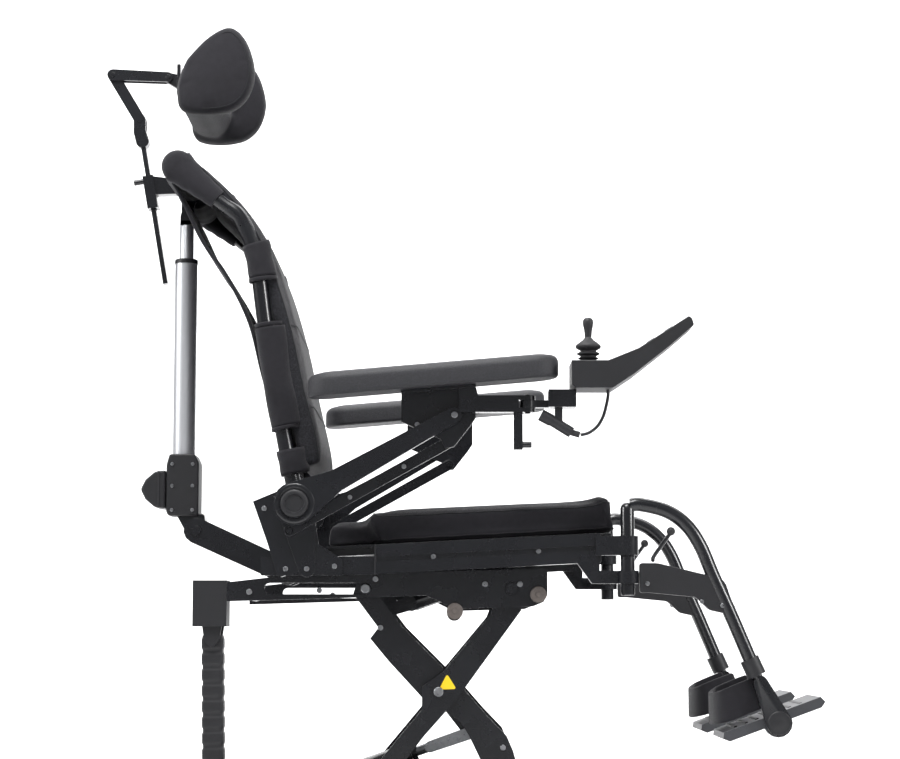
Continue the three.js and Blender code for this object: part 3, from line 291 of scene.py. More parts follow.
# Satin black polyester powder coat: the melted powder leaves a faint orange peel about a
# millimetre across, and handling leaves cloudy patches that are a little duller.
powder_coat, tree, place = start("powder_coated_steel")
peel = noise(tree, place, 700.0, 2.0)
cloud = put(tree, "ShaderNodeTexNoise", {"Vector": place, "Scale": 14.0, "Detail": 5.0, "Roughness": 0.6})
tone = blend(tree, cloud.outputs[0], "#0c0d10", "#14151a")
dull = put(tree, "ShaderNodeMapRange", {"Value": cloud.outputs[0], "To Min": 0.2, "To Max": 0.34})
lump = bumps(tree, peel.outputs[0], 0.25, 0.0002)
close(tree, {"Base Color": tone.outputs[2], "Roughness": dull.outputs[0], "Normal": lump.outputs[0],
             "Coat Weight": 0.25, "Coat Roughness": 0.2})

body_of_node = {node: body for body, members in frame["record"]["behaviour"]["bodies"].items()
                for node in members}
hands = [(-1, "right"), (1, "left")]


def both(*names):
    """The names with _right and _left added."""
    return [f"{name}_{hand}" for name in names for _, hand in hands]


edge_radius = {
    "chassis_frame": 0.8, "scissor_arm_outer": 1.2, "scissor_arm_inner": 1.2, "lift_top_frame": 1.0,
    "lift_actuator_body": 1.5, "tilt_actuator_body": 1.2, "seat_frame": 0.9, "recline_support_arm": 1.2,
    "headrest_bar": 0.8, "headrest_link_lower": 1.8, "headrest_link_upper": 1.2, "headrest_bracket": 0.8,
    "joystick_swing_arm": 0.8,
    **{name: 1.0 for name in both("back_bracket", "armrest_link", "armrest_bracket", "caster_fork")},
    **{name: 1.4 for name in both("drive_motor", "leg_tube")},
    **{name: 3.0 for name in both("armrest_arm")},
}
for node, radius in edge_radius.items():
    fit(finished(node, radius), body_of_node[node], "black_steel", powder_coat, node)


# ---- Base castings and boxes ----------------------------------------------------------------
# Moulded covers of the base: the battery box, the controller box and the cable box. ABS, with
# the fine texture that a spark-eroded mould leaves.
abs_black, tree, place = start("moulded_abs_black")
grain = noise(tree, place, 1400.0, 3.0)
cloud = noise(tree, place, 22.0, 4.0)
tone = blend(tree, cloud.outputs[0], "#111114", "#19191d")
dull = put(tree, "ShaderNodeMapRange", {"Value": grain.outputs[0], "To Min": 0.42, "To Max": 0.62})
lump = bumps(tree, grain.outputs[0], 0.35, 0.00015)
close(tree, {"Base Color": tone.outputs[2], "Roughness": dull.outputs[0], "Normal": lump.outputs[0]})

# The same plastic in mid grey.
abs_grey, tree, place = start("moulded_abs_grey")
grain = noise(tree, place, 1400.0, 3.0)
cloud = noise(tree, place, 30.0, 4.0)
tone = blend(tree, cloud.outputs[0], "#5d5e62", "#74757a")
lump = bumps(tree, grain.outputs[0], 0.35, 0.00015)
close(tree, {"Base Color": tone.outputs[2], "Roughness": 0.5, "Normal": lump.outputs[0]})

for node, radius, look in [
        ("battery_box", 4.0, abs_black), ("power_module", 3.0, abs_grey), ("cable_box", 1.6, abs_black),
        ("recline_motor", 4.0, abs_black), ("joystick_housing", 3.5, abs_black)]:
    slot_name = "grey_plastic" if look is abs_grey else "black_plastic"
    fit(finished(node, radius, sharp=28.0), body_of_node[node], slot_name, look, node)


# ---- Wheels ---------------------------------------------------------------------------------
# Solid puncture-proof drive tyres with a block tread, on silver-painted cast rims with five
# spokes, and small casters with a plain rounded tyre on a plastic hub.
drive_axle = (-215, 165)
drive_out = 240
drive_width = 70
drive_radius = 165
caster_axle = (213, 95)
caster_out = 215
tread_blocks = 36


def wheel_grid(profile, centre, hand, sides, lift=None):
    """Profile points (radius, distance out) turned about an axle along Y. lift, when given, is added to the
    radius and has one value for each profile point and each step round."""
    c, s = circle(sides)
    radius = np.array([r for r, _ in profile], float)[:, None] + (0 if lift is None else lift)
    out = np.array([y for _, y in profile], float)[:, None]
    return np.stack([centre[0] + radius * c, hand * out + 0 * radius * c, centre[1] + radius * s], axis=-1)


# Tyre rubber: dull, dark, with a little dust in its pores.
rubber, tree, place = start("tyre_rubber")
pore = noise(tree, place, 500.0, 4.0)
dust = noise(tree, place, 12.0, 5.0)
tone = blend(tree, dust.outputs[0], "#18181a", "#29282a")
lump = bumps(tree, pore.outputs[0], 0.3, 0.0004)
close(tree, {"Base Color": tone.outputs[2], "Roughness": 0.82, "Normal": lump.outputs[0]})

# Cast aluminium with silver lacquer: fine flake and a soft shine.
silver_lacquer, tree, place = start("silver_lacquered_casting")
flake = noise(tree, place, 2600.0, 1.0)
tone = blend(tree, flake.outputs[0], "#8f9195", "#a9abaf")
lump = bumps(tree, flake.outputs[0], 0.1, 0.0002)
close(tree, {"Base Color": tone.outputs[2], "Metallic": 0.75, "Roughness": 0.42, "Normal": lump.outputs[0],
             "Coat Weight": 0.3, "Coat Roughness": 0.15})

tyre_steps = 288
turn = np.linspace(0, 2 * math.pi, tyre_steps, endpoint=False)
for side, hand in hands:
    seat = drive_radius - 42
    low, high = drive_out, drive_out + drive_width
    flat = np.linspace(low + 10, high - 10, 15)
    crown = drive_radius - 3.2 - 3.0 * ((flat - flat.mean()) / 25) ** 2
    profile = [(seat - 7, low + 14), (seat - 3, low + 6), (seat + 11, low + 1),
               (drive_radius - 16, low + 0.5), (drive_radius - 8, low + 5), *zip(crown, flat),
               (drive_radius - 8, high - 5), (drive_radius - 16, high - 0.5), (seat + 11, high - 1),
               (seat - 3, high - 6), (seat - 7, high - 14)]
    # Blocks stand proud by the tread's depth, in two rows that are half a block apart.
    place_out = np.array([out for _, out in profile])[:, None] - (low + high) / 2
    wave = np.cos(tread_blocks * turn[None, :] + np.where(place_out > 0, math.pi, 0))
    block = np.clip(wave * 4 + 0.8, 0, 1) * np.clip((np.abs(place_out) - 2) / 2, 0, 1)
    on_tread = np.array([r > drive_radius - 9 for r, _ in profile])[:, None]
    lift = 3.2 * block * on_tread
    tyre = surface(f"drive_tyre_tread_{hand}",
                   wheel_grid(profile, drive_axle, side, tyre_steps, lift), loop=True, capped=False, sharp=55)
    fit(tyre, f"wheel_{hand}", "tyre_rubber", rubber, f"drive_tyre_{hand}")

    # The face between hub and rim is dished, and five spokes stand out of it.
    radius = np.linspace(28, seat - 15, 26)
    spoke = np.clip(1.6 * np.cos(5 * turn[None, ::2]) + 0.2, 0, 1) * np.ones((len(radius), 1))
    dish = high - 46 + 22 * ((radius - 28) / (seat - 43)) ** 2
    face_out = dish[:, None] + 9 * spoke
    c, s = np.cos(turn[::2]), np.sin(turn[::2])
    face = np.stack([drive_axle[0] + radius[:, None] * c, side * face_out,
                     drive_axle[1] + radius[:, None] * s], axis=-1)
    around = tyre_steps // 2
    inner = wheel_grid([(seat - 14, low + 6), (seat - 14, low + 24), (27, low + 16), (27, low - 27),
                        (12.5, low - 27), (12.5, low - 63)], drive_axle, side, around)
    outer = wheel_grid([(seat - 13, high - 8), (seat - 11, high - 6), (seat - 5, high - 6),
                        (seat - 9, high - 14), (seat - 9, low + 14), (seat - 5, low + 6)],
                       drive_axle, side, around)
    rim = surface(f"drive_wheel_rim_{hand}", np.concatenate([face, outer, inner]), sharp=35)
    fit(rim, f"wheel_{hand}", "anodised", silver_lacquer, f"drive_rim_{hand}")
    cap = surface(f"wheel_hub_cap_{hand}", wheel_grid(
        [(0.5, high - 22), (14, high - 22.5), (24, high - 25), (29, high - 30), (29.5, high - 42)],
        drive_axle, side, 64))
    fit(cap, f"wheel_{hand}", "black_plastic", abs_black)

    arc = np.linspace(-1.2, 1.2, 13)
    rounded = [(95 - 13 * (1 - math.cos(a)), caster_out + 18 * math.sin(a) / math.sin(1.2)) for a in arc]
    caster = surface(f"caster_tyre_{hand}", wheel_grid(
        [(66, caster_out - 18), *rounded, (66, caster_out + 18), (64, caster_out + 14),
         (64, caster_out - 14)], caster_axle, side, 96), loop=True, capped=False)
    fit(caster, f"caster_{hand}", "tyre_rubber", rubber, f"caster_wheel_{hand}")
    hub_dish = surface(f"caster_hub_{hand}", wheel_grid(
        [(7, caster_out - 22), (18, caster_out - 22), (21, caster_out - 10), (52, caster_out - 8),
         (58, caster_out - 16), (64.2, caster_out - 16), (64.2, caster_out + 16), (58, caster_out + 16),
         (52, caster_out + 8), (21, caster_out + 10), (18, caster_out + 22), (7, caster_out + 22)],
        caster_axle, side, 72), loop=True, capped=False)
    fit(hub_dish, f"caster_{hand}", "tyre_rubber", abs_grey)


# ---- Lift details ----------------------------------------------------------------------------
# Zinc-plated socket screws on the pivots and plates, brownish-grey nylon glide discs on the ends
# of the cross tubes, bright actuator rods, and a plain yellow sticker on the crossing.


def stamped(name, places, radius, height, side, sides=24):
    """Socket-head screws: one small turned head with a six-sided recess, repeated at each [x, z, distance
    out], and facing along Y to the side given."""
    c, s = circle(sides)
    six = (math.pi / 6 - np.abs(np.arctan2(s, c) % (math.pi / 3) - math.pi / 6))
    socket = 0.5 * radius / np.cos(math.pi / 6 - six)
    ring = [(radius * 1.0, 0.0), (radius, height * 0.75), (radius * 0.86, height)]
    rows = [(np.full(sides, r), h) for r, h in ring] + [(socket, height), (socket, height * 0.4),
                                                        (np.full(sides, 0.02), height * 0.4)]
    unit = np.stack([np.stack([r * c, np.full(sides, h * 1.0), r * s], axis=-1) for r, h in rows])
    heads = []
    for x, z, out in places:
        heads.append(unit * [1, side, 1] + [x, side * out, z])
    faces = faces_of(len(rows), sides, True, False)
    count = len(rows) * sides
    caps = [[k * count + j for j in range(sides)] for k in range(len(heads))]
    mesh = bpy.data.meshes.new(name)
    mesh.from_pydata((np.concatenate(heads).reshape(-1, 3) * MM).tolist(), [],
                     np.concatenate([faces + k * count for k in range(len(heads))]).tolist() + caps)
    work = bmesh.new()
    work.from_mesh(mesh)
    bmesh.ops.remove_doubles(work, verts=work.verts, dist=1e-5)
    bmesh.ops.recalc_face_normals(work, faces=work.faces)
    work.to_mesh(mesh)
    work.free()
    mesh.shade_smooth()
    mesh.set_sharp_from_angle(angle=math.radians(30))
    made = bpy.data.objects.new(name, mesh)
    scene.collection.objects.link(made)
    return made


# Bright zinc plate: a grey metal with a faint cloudy bloom.
zinc, tree, place = start("zinc_plated_steel")
bloom = noise(tree, place, 180.0, 4.0)
tone = blend(tree, bloom.outputs[0], "#8d8f92", "#b9babd")
dull = put(tree, "ShaderNodeMapRange", {"Value": bloom.outputs[0], "To Min": 0.2, "To Max": 0.4})
close(tree, {"Base Color": tone.outputs[2], "Metallic": 1.0, "Roughness": dull.outputs[0]})

# Turned nylon discs: brownish grey, with the rings that the lathe leaves.
nylon, tree, place = start("turned_nylon")
ring = noise(tree, place, 300.0, 2.0)
tone = blend(tree, ring.outputs[0], "#4f4946", "#6a625d")
lump = bumps(tree, ring.outputs[0], 0.2, 0.0003)
close(tree, {"Base Color": tone.outputs[2], "Roughness": 0.45, "Normal": lump.outputs[0]})

# Yellow vinyl: smooth and slightly glossy.
vinyl, tree, place = start("yellow_vinyl")
mottle = noise(tree, place, 90.0, 2.0)
tone = blend(tree, mottle.outputs[0], "#e9c21a", "#f2cf2c")
close(tree, {"Base Color": tone.outputs[2], "Roughness": 0.35})

for side, hand in hands:
    for part, places, radius, body in [
            ("crossing", [(-13, 472, 198)], 7.5, "scissor_outer"),
            ("lower_roller", [(102, 311, 207), (-128, 633, 207)], 7, "scissor_inner"),
            ("inner_arm", [(88, 385, 182), (-105, 572, 182)], 4.5, "scissor_inner"),
            ("top_frame", [(x, z, 206) for x, z in
                           [(-112, 648), (60, 640), (115, 640), (-200, 630), (-310, 628)]],
             4.5, "seat_lift"),
            ("chassis", [(x, z, 206) for x, z in
                         [(-290, 320), (-60, 325), (30, 325), (250, 276), (-250, 300)]],
             5, "base")]:
        fit(stamped(f"screws_{part}_{hand}", places, radius, radius * 0.55, side), body, "bright_steel", zinc)
    for label, centre in [("front", (143.7, 623.7)), ("middle", (12.5, 597.6))]:
        glide = surface(f"glide_disc_{label}_{hand}", wheel_grid(
            [(0.3, 213), (3.5, 213), (4, 211.5), (11.5, 211.5), (13, 210), (13, 207.2), (0.3, 207.2)],
            centre, side, 40), sharp=30)
        fit(glide, "seat_lift", "grey_plastic", nylon)

label_middle = np.array([1.0, 484.0])
corner = np.radians([92, 212, 332])
label_ring = np.concatenate([label_middle + 11.5 * np.array([math.cos(a), math.sin(a)])
                             + 2.2 * np.array([[math.cos(b), math.sin(b)] for b in a + np.linspace(-1, 1, 5)])
                             for a in corner])
sticker = surface("plain_yellow_sticker", np.stack([
    np.column_stack([label_ring[:, 0], np.full(15, -out), label_ring[:, 1]]) for out in (196.1, 196.5)]))
fit(sticker, "scissor_outer", "grey_plastic", vinyl)
for node in ("lift_actuator_rod", "tilt_actuator_rod"):
    fit(finished(node, 0.6), body_of_node[node], "bright_steel", zinc, node)


# ---- Cable chain -----------------------------------------------------------------------------
# A cable chain guides the leads from the lifting seat to the base. Each nylon link is a short
# box with a waist where it hinges on the next.
chain_out = (158, 192)


def chain(name, top, foot, links, narrow):
    """A row of links from top to foot: the half width of each follows a rounded square wave along the row,
    and its section is a rounded rectangle."""
    steps = links * 12 + 1
    t = np.linspace(0, 1, steps)
    path = np.stack([top[0] + (foot[0] - top[0]) * t, np.full(steps, -(chain_out[0] + chain_out[1]) / 2),
                     top[1] + (foot[1] - top[1]) * t], axis=-1)
    wave = np.clip(3.0 * np.cos(2 * math.pi * links * t + math.pi) + 1.6, -1, 1)
    c, s = circle(40)
    square = lambda v: np.sign(v) * np.abs(v) ** 0.28
    across = (narrow - 0.7 + 0.7 * wave)[:, None] * square(c)
    aside = (16.3 + 0.7 * wave)[:, None] * square(s)
    return surface(name, carried(path, across, aside), sharp=30)


fit(chain("cable_chain_links_upper", (-369, 560), (-365.6, 338), 9, 17.5),
    "chain_upper", "black_plastic", abs_black, "cable_chain_upper")
fit(chain("cable_chain_links_lower", (-365, 350), (-291, 252), 5, 14),
    "chain_lower", "black_plastic", abs_black, "cable_chain_lower")


# ---- Recline actuator ------------------------------------------------------------------------
# The linear actuator that lays the back down: a clear-anodised aluminium tube on a moulded gear
# housing, with a thinner rod that slides in it, and a fork at the top.
actuator_x = -439
housing_top = 859
tube_top = 1188
rod_top = 1266

# Clear anodised aluminium: drawn along its length, which leaves fine streaks up and down.
anodised, tree, place = start("anodised_aluminium")
stretch = put(tree, "ShaderNodeMapping", {"Vector": place, "Scale": (1800.0, 1800.0, 12.0)})
streak = put(tree, "ShaderNodeTexNoise", {"Vector": stretch.outputs[0], "Scale": 1.0, "Detail": 3.0})
tone = blend(tree, streak.outputs[0], "#cfd1d5", "#e2e3e6")
dull = put(tree, "ShaderNodeMapRange", {"Value": streak.outputs[0], "To Min": 0.4, "To Max": 0.5})
lump = bumps(tree, streak.outputs[0], 0.08, 0.0002)
close(tree, {"Base Color": tone.outputs[2], "Metallic": 1.0, "Roughness": dull.outputs[0],
             "Normal": lump.outputs[0]})


def upright_turned(name, centre, profile, sides=64, sharp=35.0):
    """Profile points (radius, height) turned about an upright axis at centre [x, y]."""
    c, s = circle(sides)
    radius = np.array([r for r, _ in profile], float)[:, None]
    height = np.array([z for _, z in profile], float)[:, None]
    return surface(name, np.stack([centre[0] + radius * c, centre[1] + radius * s, height + 0 * radius * c],
                                  axis=-1), sharp=sharp)


tube = upright_turned("actuator_tube", (actuator_x, 0), [
    (18.7, housing_top - 4), (18.7, tube_top - 8), (18.7, tube_top - 1), (17.5, tube_top),
    (12.9, tube_top), (12.9, tube_top - 6)])
fit(tube, "recline_actuator", "anodised", anodised)
collar = upright_turned("actuator_tube_end_cap", (actuator_x, 0), [
    (13.1, tube_top - 7), (19.4, tube_top - 7), (19.4, tube_top - 1), (18, tube_top + 0.6),
    (13.1, tube_top + 0.6)])
fit(collar, "recline_actuator", "black_plastic", abs_black)
rod = upright_turned("actuator_rod", (actuator_x, 0), [
    (11.9, tube_top - 78), (11.9, rod_top - 16), (11.2, rod_top - 15)])
fit(rod, "recline_rod", "anodised", anodised)


def side_plate(name, corners, y_low, y_high, radius=0.8, angle=30.0):
    """A side outline of [x, z] points filled at both distances along Y, with rounded edges."""
    flat = np.asarray(corners, float)
    grid = np.stack([np.column_stack([flat[:, 0], np.full(len(flat), y), flat[:, 1]])
                     for y in (y_low, y_high)])
    return broken_edges(surface(name, grid, sharp=angle), radius, angle, 3)


def round_corners(corners, radius, steps=5):
    """The outline with each corner replaced by a quadratic curve, whose ends lie radius before and after."""
    p = np.asarray(corners, float)
    before, after = np.roll(p, 1, axis=0) - p, np.roll(p, -1, axis=0) - p
    a = p + before / np.linalg.norm(before, axis=1, keepdims=True) * radius
    b = p + after / np.linalg.norm(after, axis=1, keepdims=True) * radius
    t = np.linspace(0, 1, steps)[None, :, None]
    return ((1 - t) ** 2 * a[:, None] + 2 * t * (1 - t) * p[:, None] + t ** 2 * b[:, None]).reshape(-1, 2)


fork_outline = round_corners([
    (actuator_x - 10, rod_top - 20), (actuator_x + 10, rod_top - 20), (actuator_x + 10, rod_top - 3),
    (actuator_x + 5, rod_top + 8), (actuator_x - 5, rod_top + 8), (actuator_x - 10, rod_top - 3)], 3)
fork_foot = [(actuator_x - 10, rod_top - 20), (actuator_x + 10, rod_top - 20),
             (actuator_x + 10, rod_top - 11), (actuator_x - 10, rod_top - 11)]
fit(side_plate("actuator_rod_fork", fork_outline, -12, -5.6), "recline_rod", "black_steel", powder_coat,
    "recline_actuator_rod")
fit(side_plate("actuator_rod_fork_far", fork_outline, 5.6, 12), "recline_rod", "black_steel", powder_coat)
fit(side_plate("actuator_rod_fork_foot", fork_foot, -12, 12, 1.2), "recline_rod", "black_steel", powder_coat)
housing = side_plate("actuator_gear_housing", round_corners([
    (actuator_x - 22, 756), (actuator_x + 28, 756), (actuator_x + 28, housing_top - 14),
    (actuator_x + 21, housing_top), (actuator_x - 21, housing_top), (actuator_x - 26, housing_top - 18),
    (actuator_x - 26, 764)], 4), -28, 28, 3.5)
fit(housing, "recline_actuator", "black_plastic", abs_black, "recline_actuator_tube")
lug = side_plate("actuator_foot_lug", round_corners([
    (-428, 722), (-412, 714), (-396, 722), (-402, 760), (-449, 760)], 4), -22, 22, 1.5)
fit(lug, "recline_actuator", "black_steel", powder_coat)
screw_rows = [(actuator_x + dx, z, 28) for dx in (-16, 18) for z in (766, 806, 842)]
fit(stamped("screws_gear_housing", screw_rows, 3, 1.8, -1), "recline_actuator", "bright_steel", zinc)
fit(stamped("screws_gear_housing_far", screw_rows, 3, 1.8, 1), "recline_actuator", "bright_steel", zinc)
seam_x = actuator_x - 26.3
seam_outline = [(seam_x - 13, 769.5), (seam_x - 10, 769.5), (seam_x - 10, 830.5), (seam_x - 13, 830.5)]
motor_seam = side_plate("motor_cover_seam", round_corners(seam_outline, 1), -30.8, 30.8, 0.5)
fit(motor_seam, "recline_actuator", "black_plastic", cable_pvc)


# ---- Seat cushion ----------------------------------------------------------------------------
# Cut foam in a sewn cover of woven polyester that lies on the seat pan, with a narrower tongue
# that runs back between the brackets, and piped seams round its upper and lower edges.
seat_front = 269
seat_rear = -195
seat_narrow = -119
cushion_thick = 50


def under_seat(x):
    """Height of the seat pan at x: it rises towards the knees."""
    return 702 + (x + 119) * 0.051


def stuffed(name, path, half_wide, half_high, radius, side=(0, 1, 0), steps=7):
    """A closed pad along a path: its section is a rectangle with round corners, and both ends are rounded
    by drawing the section in by radius less the height of a quarter circle."""
    run = np.concatenate([[0], np.cumsum(np.linalg.norm(np.diff(path, axis=0), axis=1))])
    near = np.clip(radius - np.minimum(run, run[-1] - run), 0, radius)
    inset = (radius - np.sqrt(radius ** 2 - near ** 2))[:, None]
    wide = np.broadcast_to(np.asarray(half_wide, float).reshape(-1, 1), (len(path), 1)) - inset
    high = np.broadcast_to(np.asarray(half_high, float).reshape(-1, 1), (len(path), 1)) - inset
    fillet = np.clip(np.minimum(wide, high) - 0.5, 0.3, radius)
    turn = np.concatenate([np.linspace(q, q + 1, steps) for q in range(4)]) * math.pi / 2
    middle = np.repeat([0.5, 1.5, 2.5, 3.5], steps) * math.pi / 2
    across = np.sign(np.cos(middle)) * (high - fillet) + fillet * np.cos(turn)
    aside = np.sign(np.sin(middle)) * (wide - fillet) + fillet * np.sin(turn)
    return surface(name, carried(path, across, aside, side))


def baked(piece):
    """Applies the piece's modifiers to its mesh."""
    look = bpy.context.evaluated_depsgraph_get()
    mesh = bpy.data.meshes.new_from_object(piece.evaluated_get(look))
    piece.modifiers.clear()
    piece.data = mesh
    return piece


def inflated(piece, voxel, most, held=None, rounding=0):
    """Remeshes a pad to even faces and blows its cover up from inside as cloth: no point moves further than
    most, and points for which held is true stay. All sizes in millimetres."""
    remesh = piece.modifiers.new("even_faces", "REMESH")
    remesh.mode = "VOXEL"
    remesh.voxel_size = voxel * MM
    if rounding:
        smooth = piece.modifiers.new("rounding", "SMOOTH")
        smooth.factor = 0.5
        smooth.iterations = rounding
    baked(piece)
    count = len(piece.data.vertices)
    before = np.empty(count * 3)
    piece.data.vertices.foreach_get("co", before)
    before = before.reshape(-1, 3)
    cloth = piece.modifiers.new("cloth", "CLOTH")
    if held is not None:
        group = piece.vertex_groups.new(name="held")
        group.add(np.flatnonzero(held(before / MM)).tolist(), 1.0, "REPLACE")
        cloth.settings.vertex_group_mass = "held"
    cloth.settings.quality = 5
    cloth.settings.use_pressure = True
    cloth.settings.uniform_pressure_force = 4.0
    cloth.settings.effector_weights.gravity = 0.0
    cloth.point_cache.frame_start = 1
    cloth.point_cache.frame_end = 20
    for step in range(1, 21):
        scene.frame_set(step)
    baked(piece)
    after = np.empty(count * 3)
    piece.data.vertices.foreach_get("co", after)
    move = after.reshape(-1, 3) - before
    far = np.linalg.norm(move, axis=1, keepdims=True)
    move *= np.minimum(1, most * MM / np.maximum(far, 1e-9))
    piece.data.vertices.foreach_set("co", (before + move).ravel())
    piece.data.update()
    scene.frame_set(1)
    piece.data.shade_smooth()
    finer = piece.modifiers.new("finer", "SUBSURF")
    finer.levels = finer.render_levels = 1
    return baked(piece)


def seam(name, piece, points, radius, body, look, closed=True):
    """A round piping that lies on a piece: each point moves to the nearest point of the piece's surface."""
    on = np.array([tuple(piece.closest_point_on_mesh(Vector(p))[1]) for p in np.asarray(points, float) * MM])
    path = on / MM
    c, s = circle(8)
    if closed:
        way = np.roll(path, -1, axis=0) - np.roll(path, 1, axis=0)
    else:
        way = np.gradient(path, axis=0)
    way /= np.linalg.norm(way, axis=1, keepdims=True)
    level = np.cross(way, np.roll(way, 1, axis=1) * [1, -1, 1] + [0.01, 0.02, 0.03])
    level /= np.linalg.norm(level, axis=1, keepdims=True)
    other = np.cross(way, level)
    grid = path[:, None] + radius * (c[None, :, None] * level[:, None] + s[None, :, None] * other[:, None])
    return fit(surface(name, grid, loop=closed, capped=not closed), body, "dark_fabric", look)


def woven(name, dark, light, thread, slub, rough, sheen):
    """Plain-weave cloth: two sets of ridges cross at the thread spacing in metres, and their product gives
    the over-and-under of warp and weft, which is also added to the colour as painted shade: the raised
    threads are lighter and the hollows between them darker. Slub is how far thick threads lighten the cloth."""
    made, tree, place = start(name)
    axes = put(tree, "ShaderNodeSeparateXYZ", {0: place})
    flat = put(tree, "ShaderNodeMath", {0: axes.outputs["Y"], 1: axes.outputs["Z"]}, operation="ADD")
    warp_turn = put(tree, "ShaderNodeMath", {0: axes.outputs["X"], 1: 2 * math.pi / thread},
                    operation="MULTIPLY")
    weft_turn = put(tree, "ShaderNodeMath", {0: flat.outputs[0], 1: 2 * math.pi / thread},
                    operation="MULTIPLY")
    warp = put(tree, "ShaderNodeMath", {0: warp_turn.outputs[0]}, operation="SINE")
    weft = put(tree, "ShaderNodeMath", {0: weft_turn.outputs[0]}, operation="SINE")
    over = put(tree, "ShaderNodeMath", {0: warp.outputs[0], 1: weft.outputs[0]}, operation="MULTIPLY")
    height = put(tree, "ShaderNodeMapRange", {"Value": over.outputs[0], "From Min": -1.0, "From Max": 1.0})
    thick = noise(tree, place, 120.0, 6.0)
    wear = noise(tree, place, 9.0, 4.0)
    mixed = put(tree, "ShaderNodeMath", {0: thick.outputs[0], 1: slub, 2: wear.outputs[0]},
                operation="MULTIPLY_ADD")
    # The weave's height goes into the colour too: painted shade, darker in the hollows between threads.
    mixed = put(tree, "ShaderNodeMath", {0: height.outputs[0], 1: 0.35, 2: mixed.outputs[0]},
                operation="MULTIPLY_ADD")
    shade = put(tree, "ShaderNodeMapRange", {"Value": mixed.outputs[0], "From Min": 0.4, "From Max": 1.5})
    tone = blend(tree, shade.outputs[0], dark, light)
    folds = noise(tree, place, 16.0, 2.0)
    soft = bumps(tree, folds.outputs[0], 0.35, 0.006)
    lump = put(tree, "ShaderNodeBump", {"Height": height.outputs[0], "Strength": 0.5,
                                        "Distance": 0.3 * thread, "Normal": soft.outputs[0]})
    close(tree, {"Base Color": tone.outputs[2], "Roughness": rough, "Normal": lump.outputs[0],
                 "Sheen Weight": sheen, "Sheen Roughness": 0.5, "Specular IOR Level": 0.25})
    return made


# Woven polyester upholstery: charcoal, dull, with a soft bloom of loose fibre at grazing angles.
# Its threads are about 0.5 mm apart and are drawn at 1.4 mm, so that they show.
upholstery = woven("woven_polyester", "#131216", "#242328", 0.0014, 0.5, 0.9, 0.12)
# Piping and binding tape: the same fibre in a tighter, darker weave.
binding = woven("binding_tape", "#141417", "#222226", 0.0009, 0.3, 0.8, 0.05)

run = 0.5 - 0.5 * np.cos(np.linspace(0, math.pi, 60))
x = seat_rear + 4 + (seat_front - seat_rear - 8) * run
lip = 6 * np.clip((x - 215) / 35, 0, 1) ** 2
path = np.stack([x, 0 * x, under_seat(x) + cushion_thick / 2 + 0.5 * lip], axis=-1)
half_wide = 179 + 25 * np.clip((x - seat_narrow) / 10 + 0.5, 0, 1)
tall = np.clip((x - seat_narrow) / 12 + 0.5, 0, 1)
path[:, 2] -= 7 * (1 - tall)
cushion = stuffed("seat_cushion_cover", path, half_wide, 16 + 8 * tall + 0.5 * lip, 8)
inflated(cushion, 6, 6, held=lambda p: p[:, 2] < under_seat(p[:, 0]) + 4)
fit(cushion, "seat", "dark_fabric", upholstery, "seat_cushion")

# The seat pan: a folded steel sheet between the rails, which carries the cushion.
pan_x = np.linspace(seat_rear + 6, seat_front - 10, 12)
pan_top = under_seat(pan_x) - 1
fit(side_plate("seat_pan", np.concatenate([
    np.column_stack([pan_x, pan_top]), np.column_stack([pan_x, pan_top - 15])[::-1]]), -208, 208, 1.5),
    "seat", "black_steel", powder_coat)

edge = round_corners([(seat_narrow + 2, -210), (seat_front, -210), (seat_front, 210), (seat_narrow + 2, 210)],
                     24, 9)
edge = np.concatenate([np.linspace(a, b, 24, endpoint=False) for a, b in
                       zip(edge[8::9], np.roll(edge, -9, axis=0)[::9])] + [edge])
order = np.argsort(np.arctan2(edge[:, 1] / 210, (edge[:, 0] - 76) / 195))
edge = edge[order]
for label, up in [("upper", cushion_thick + 1), ("lower", 6)]:
    ring = np.column_stack([edge, under_seat(edge[:, 0]) + up])
    seam(f"seat_cushion_piping_{label}", cushion, ring, 1.3, "seat", binding)


# ---- Back upholstery --------------------------------------------------------------------------
# A foam pad in front of the two back tubes, faced with the same cloth and with ribbed spacer mesh
# along its sides, hung on the tubes by sewn sleeves, with a padded roll over the top tube.
back_tube_out = 190
back_tube_line = [(-236, 763), (-258, 870), (-277, 964), (-291, 1059), (-303, 1146), (-316, 1194),
                  (-335, 1230), (-364, 1252), (-433, 1310)]
back_face_line = [(-200, 826), (-205, 871), (-224, 954), (-240, 1032), (-264, 1119), (-290, 1186),
                  (-326, 1241), (-366, 1283), (-404, 1316)]
back_face_half = [17, 18, 18, 15, 10, 8.5, 8, 8, 8]

# Spacer mesh: two knitted faces held apart by fibres. It shows as fine ribs 3 mm apart across the
# side of the pad, with small open cells between them.
spacer_mesh, tree, place = start("ribbed_spacer_mesh")
rib = put(tree, "ShaderNodeTexWave", {"Vector": place, "Scale": 1 / 0.003 / 2, "Distortion": 0.4},
          bands_direction="Z")
cell = put(tree, "ShaderNodeTexVoronoi", {"Vector": place, "Scale": 420.0})
mixed = put(tree, "ShaderNodeMath", {0: rib.outputs[1], 1: cell.outputs[0]}, operation="MULTIPLY")
# The colour follows the same ribs and cells as the bumps: the grooves and open cells are painted darker as
# shade.
tone = blend(tree, mixed.outputs[0], "#131316", "#34343a")
lump = bumps(tree, mixed.outputs[0], 0.7, 0.0012)
close(tree, {"Base Color": tone.outputs[2], "Roughness": 0.9, "Normal": lump.outputs[0],
             "Sheen Weight": 0.1, "Specular IOR Level": 0.25})

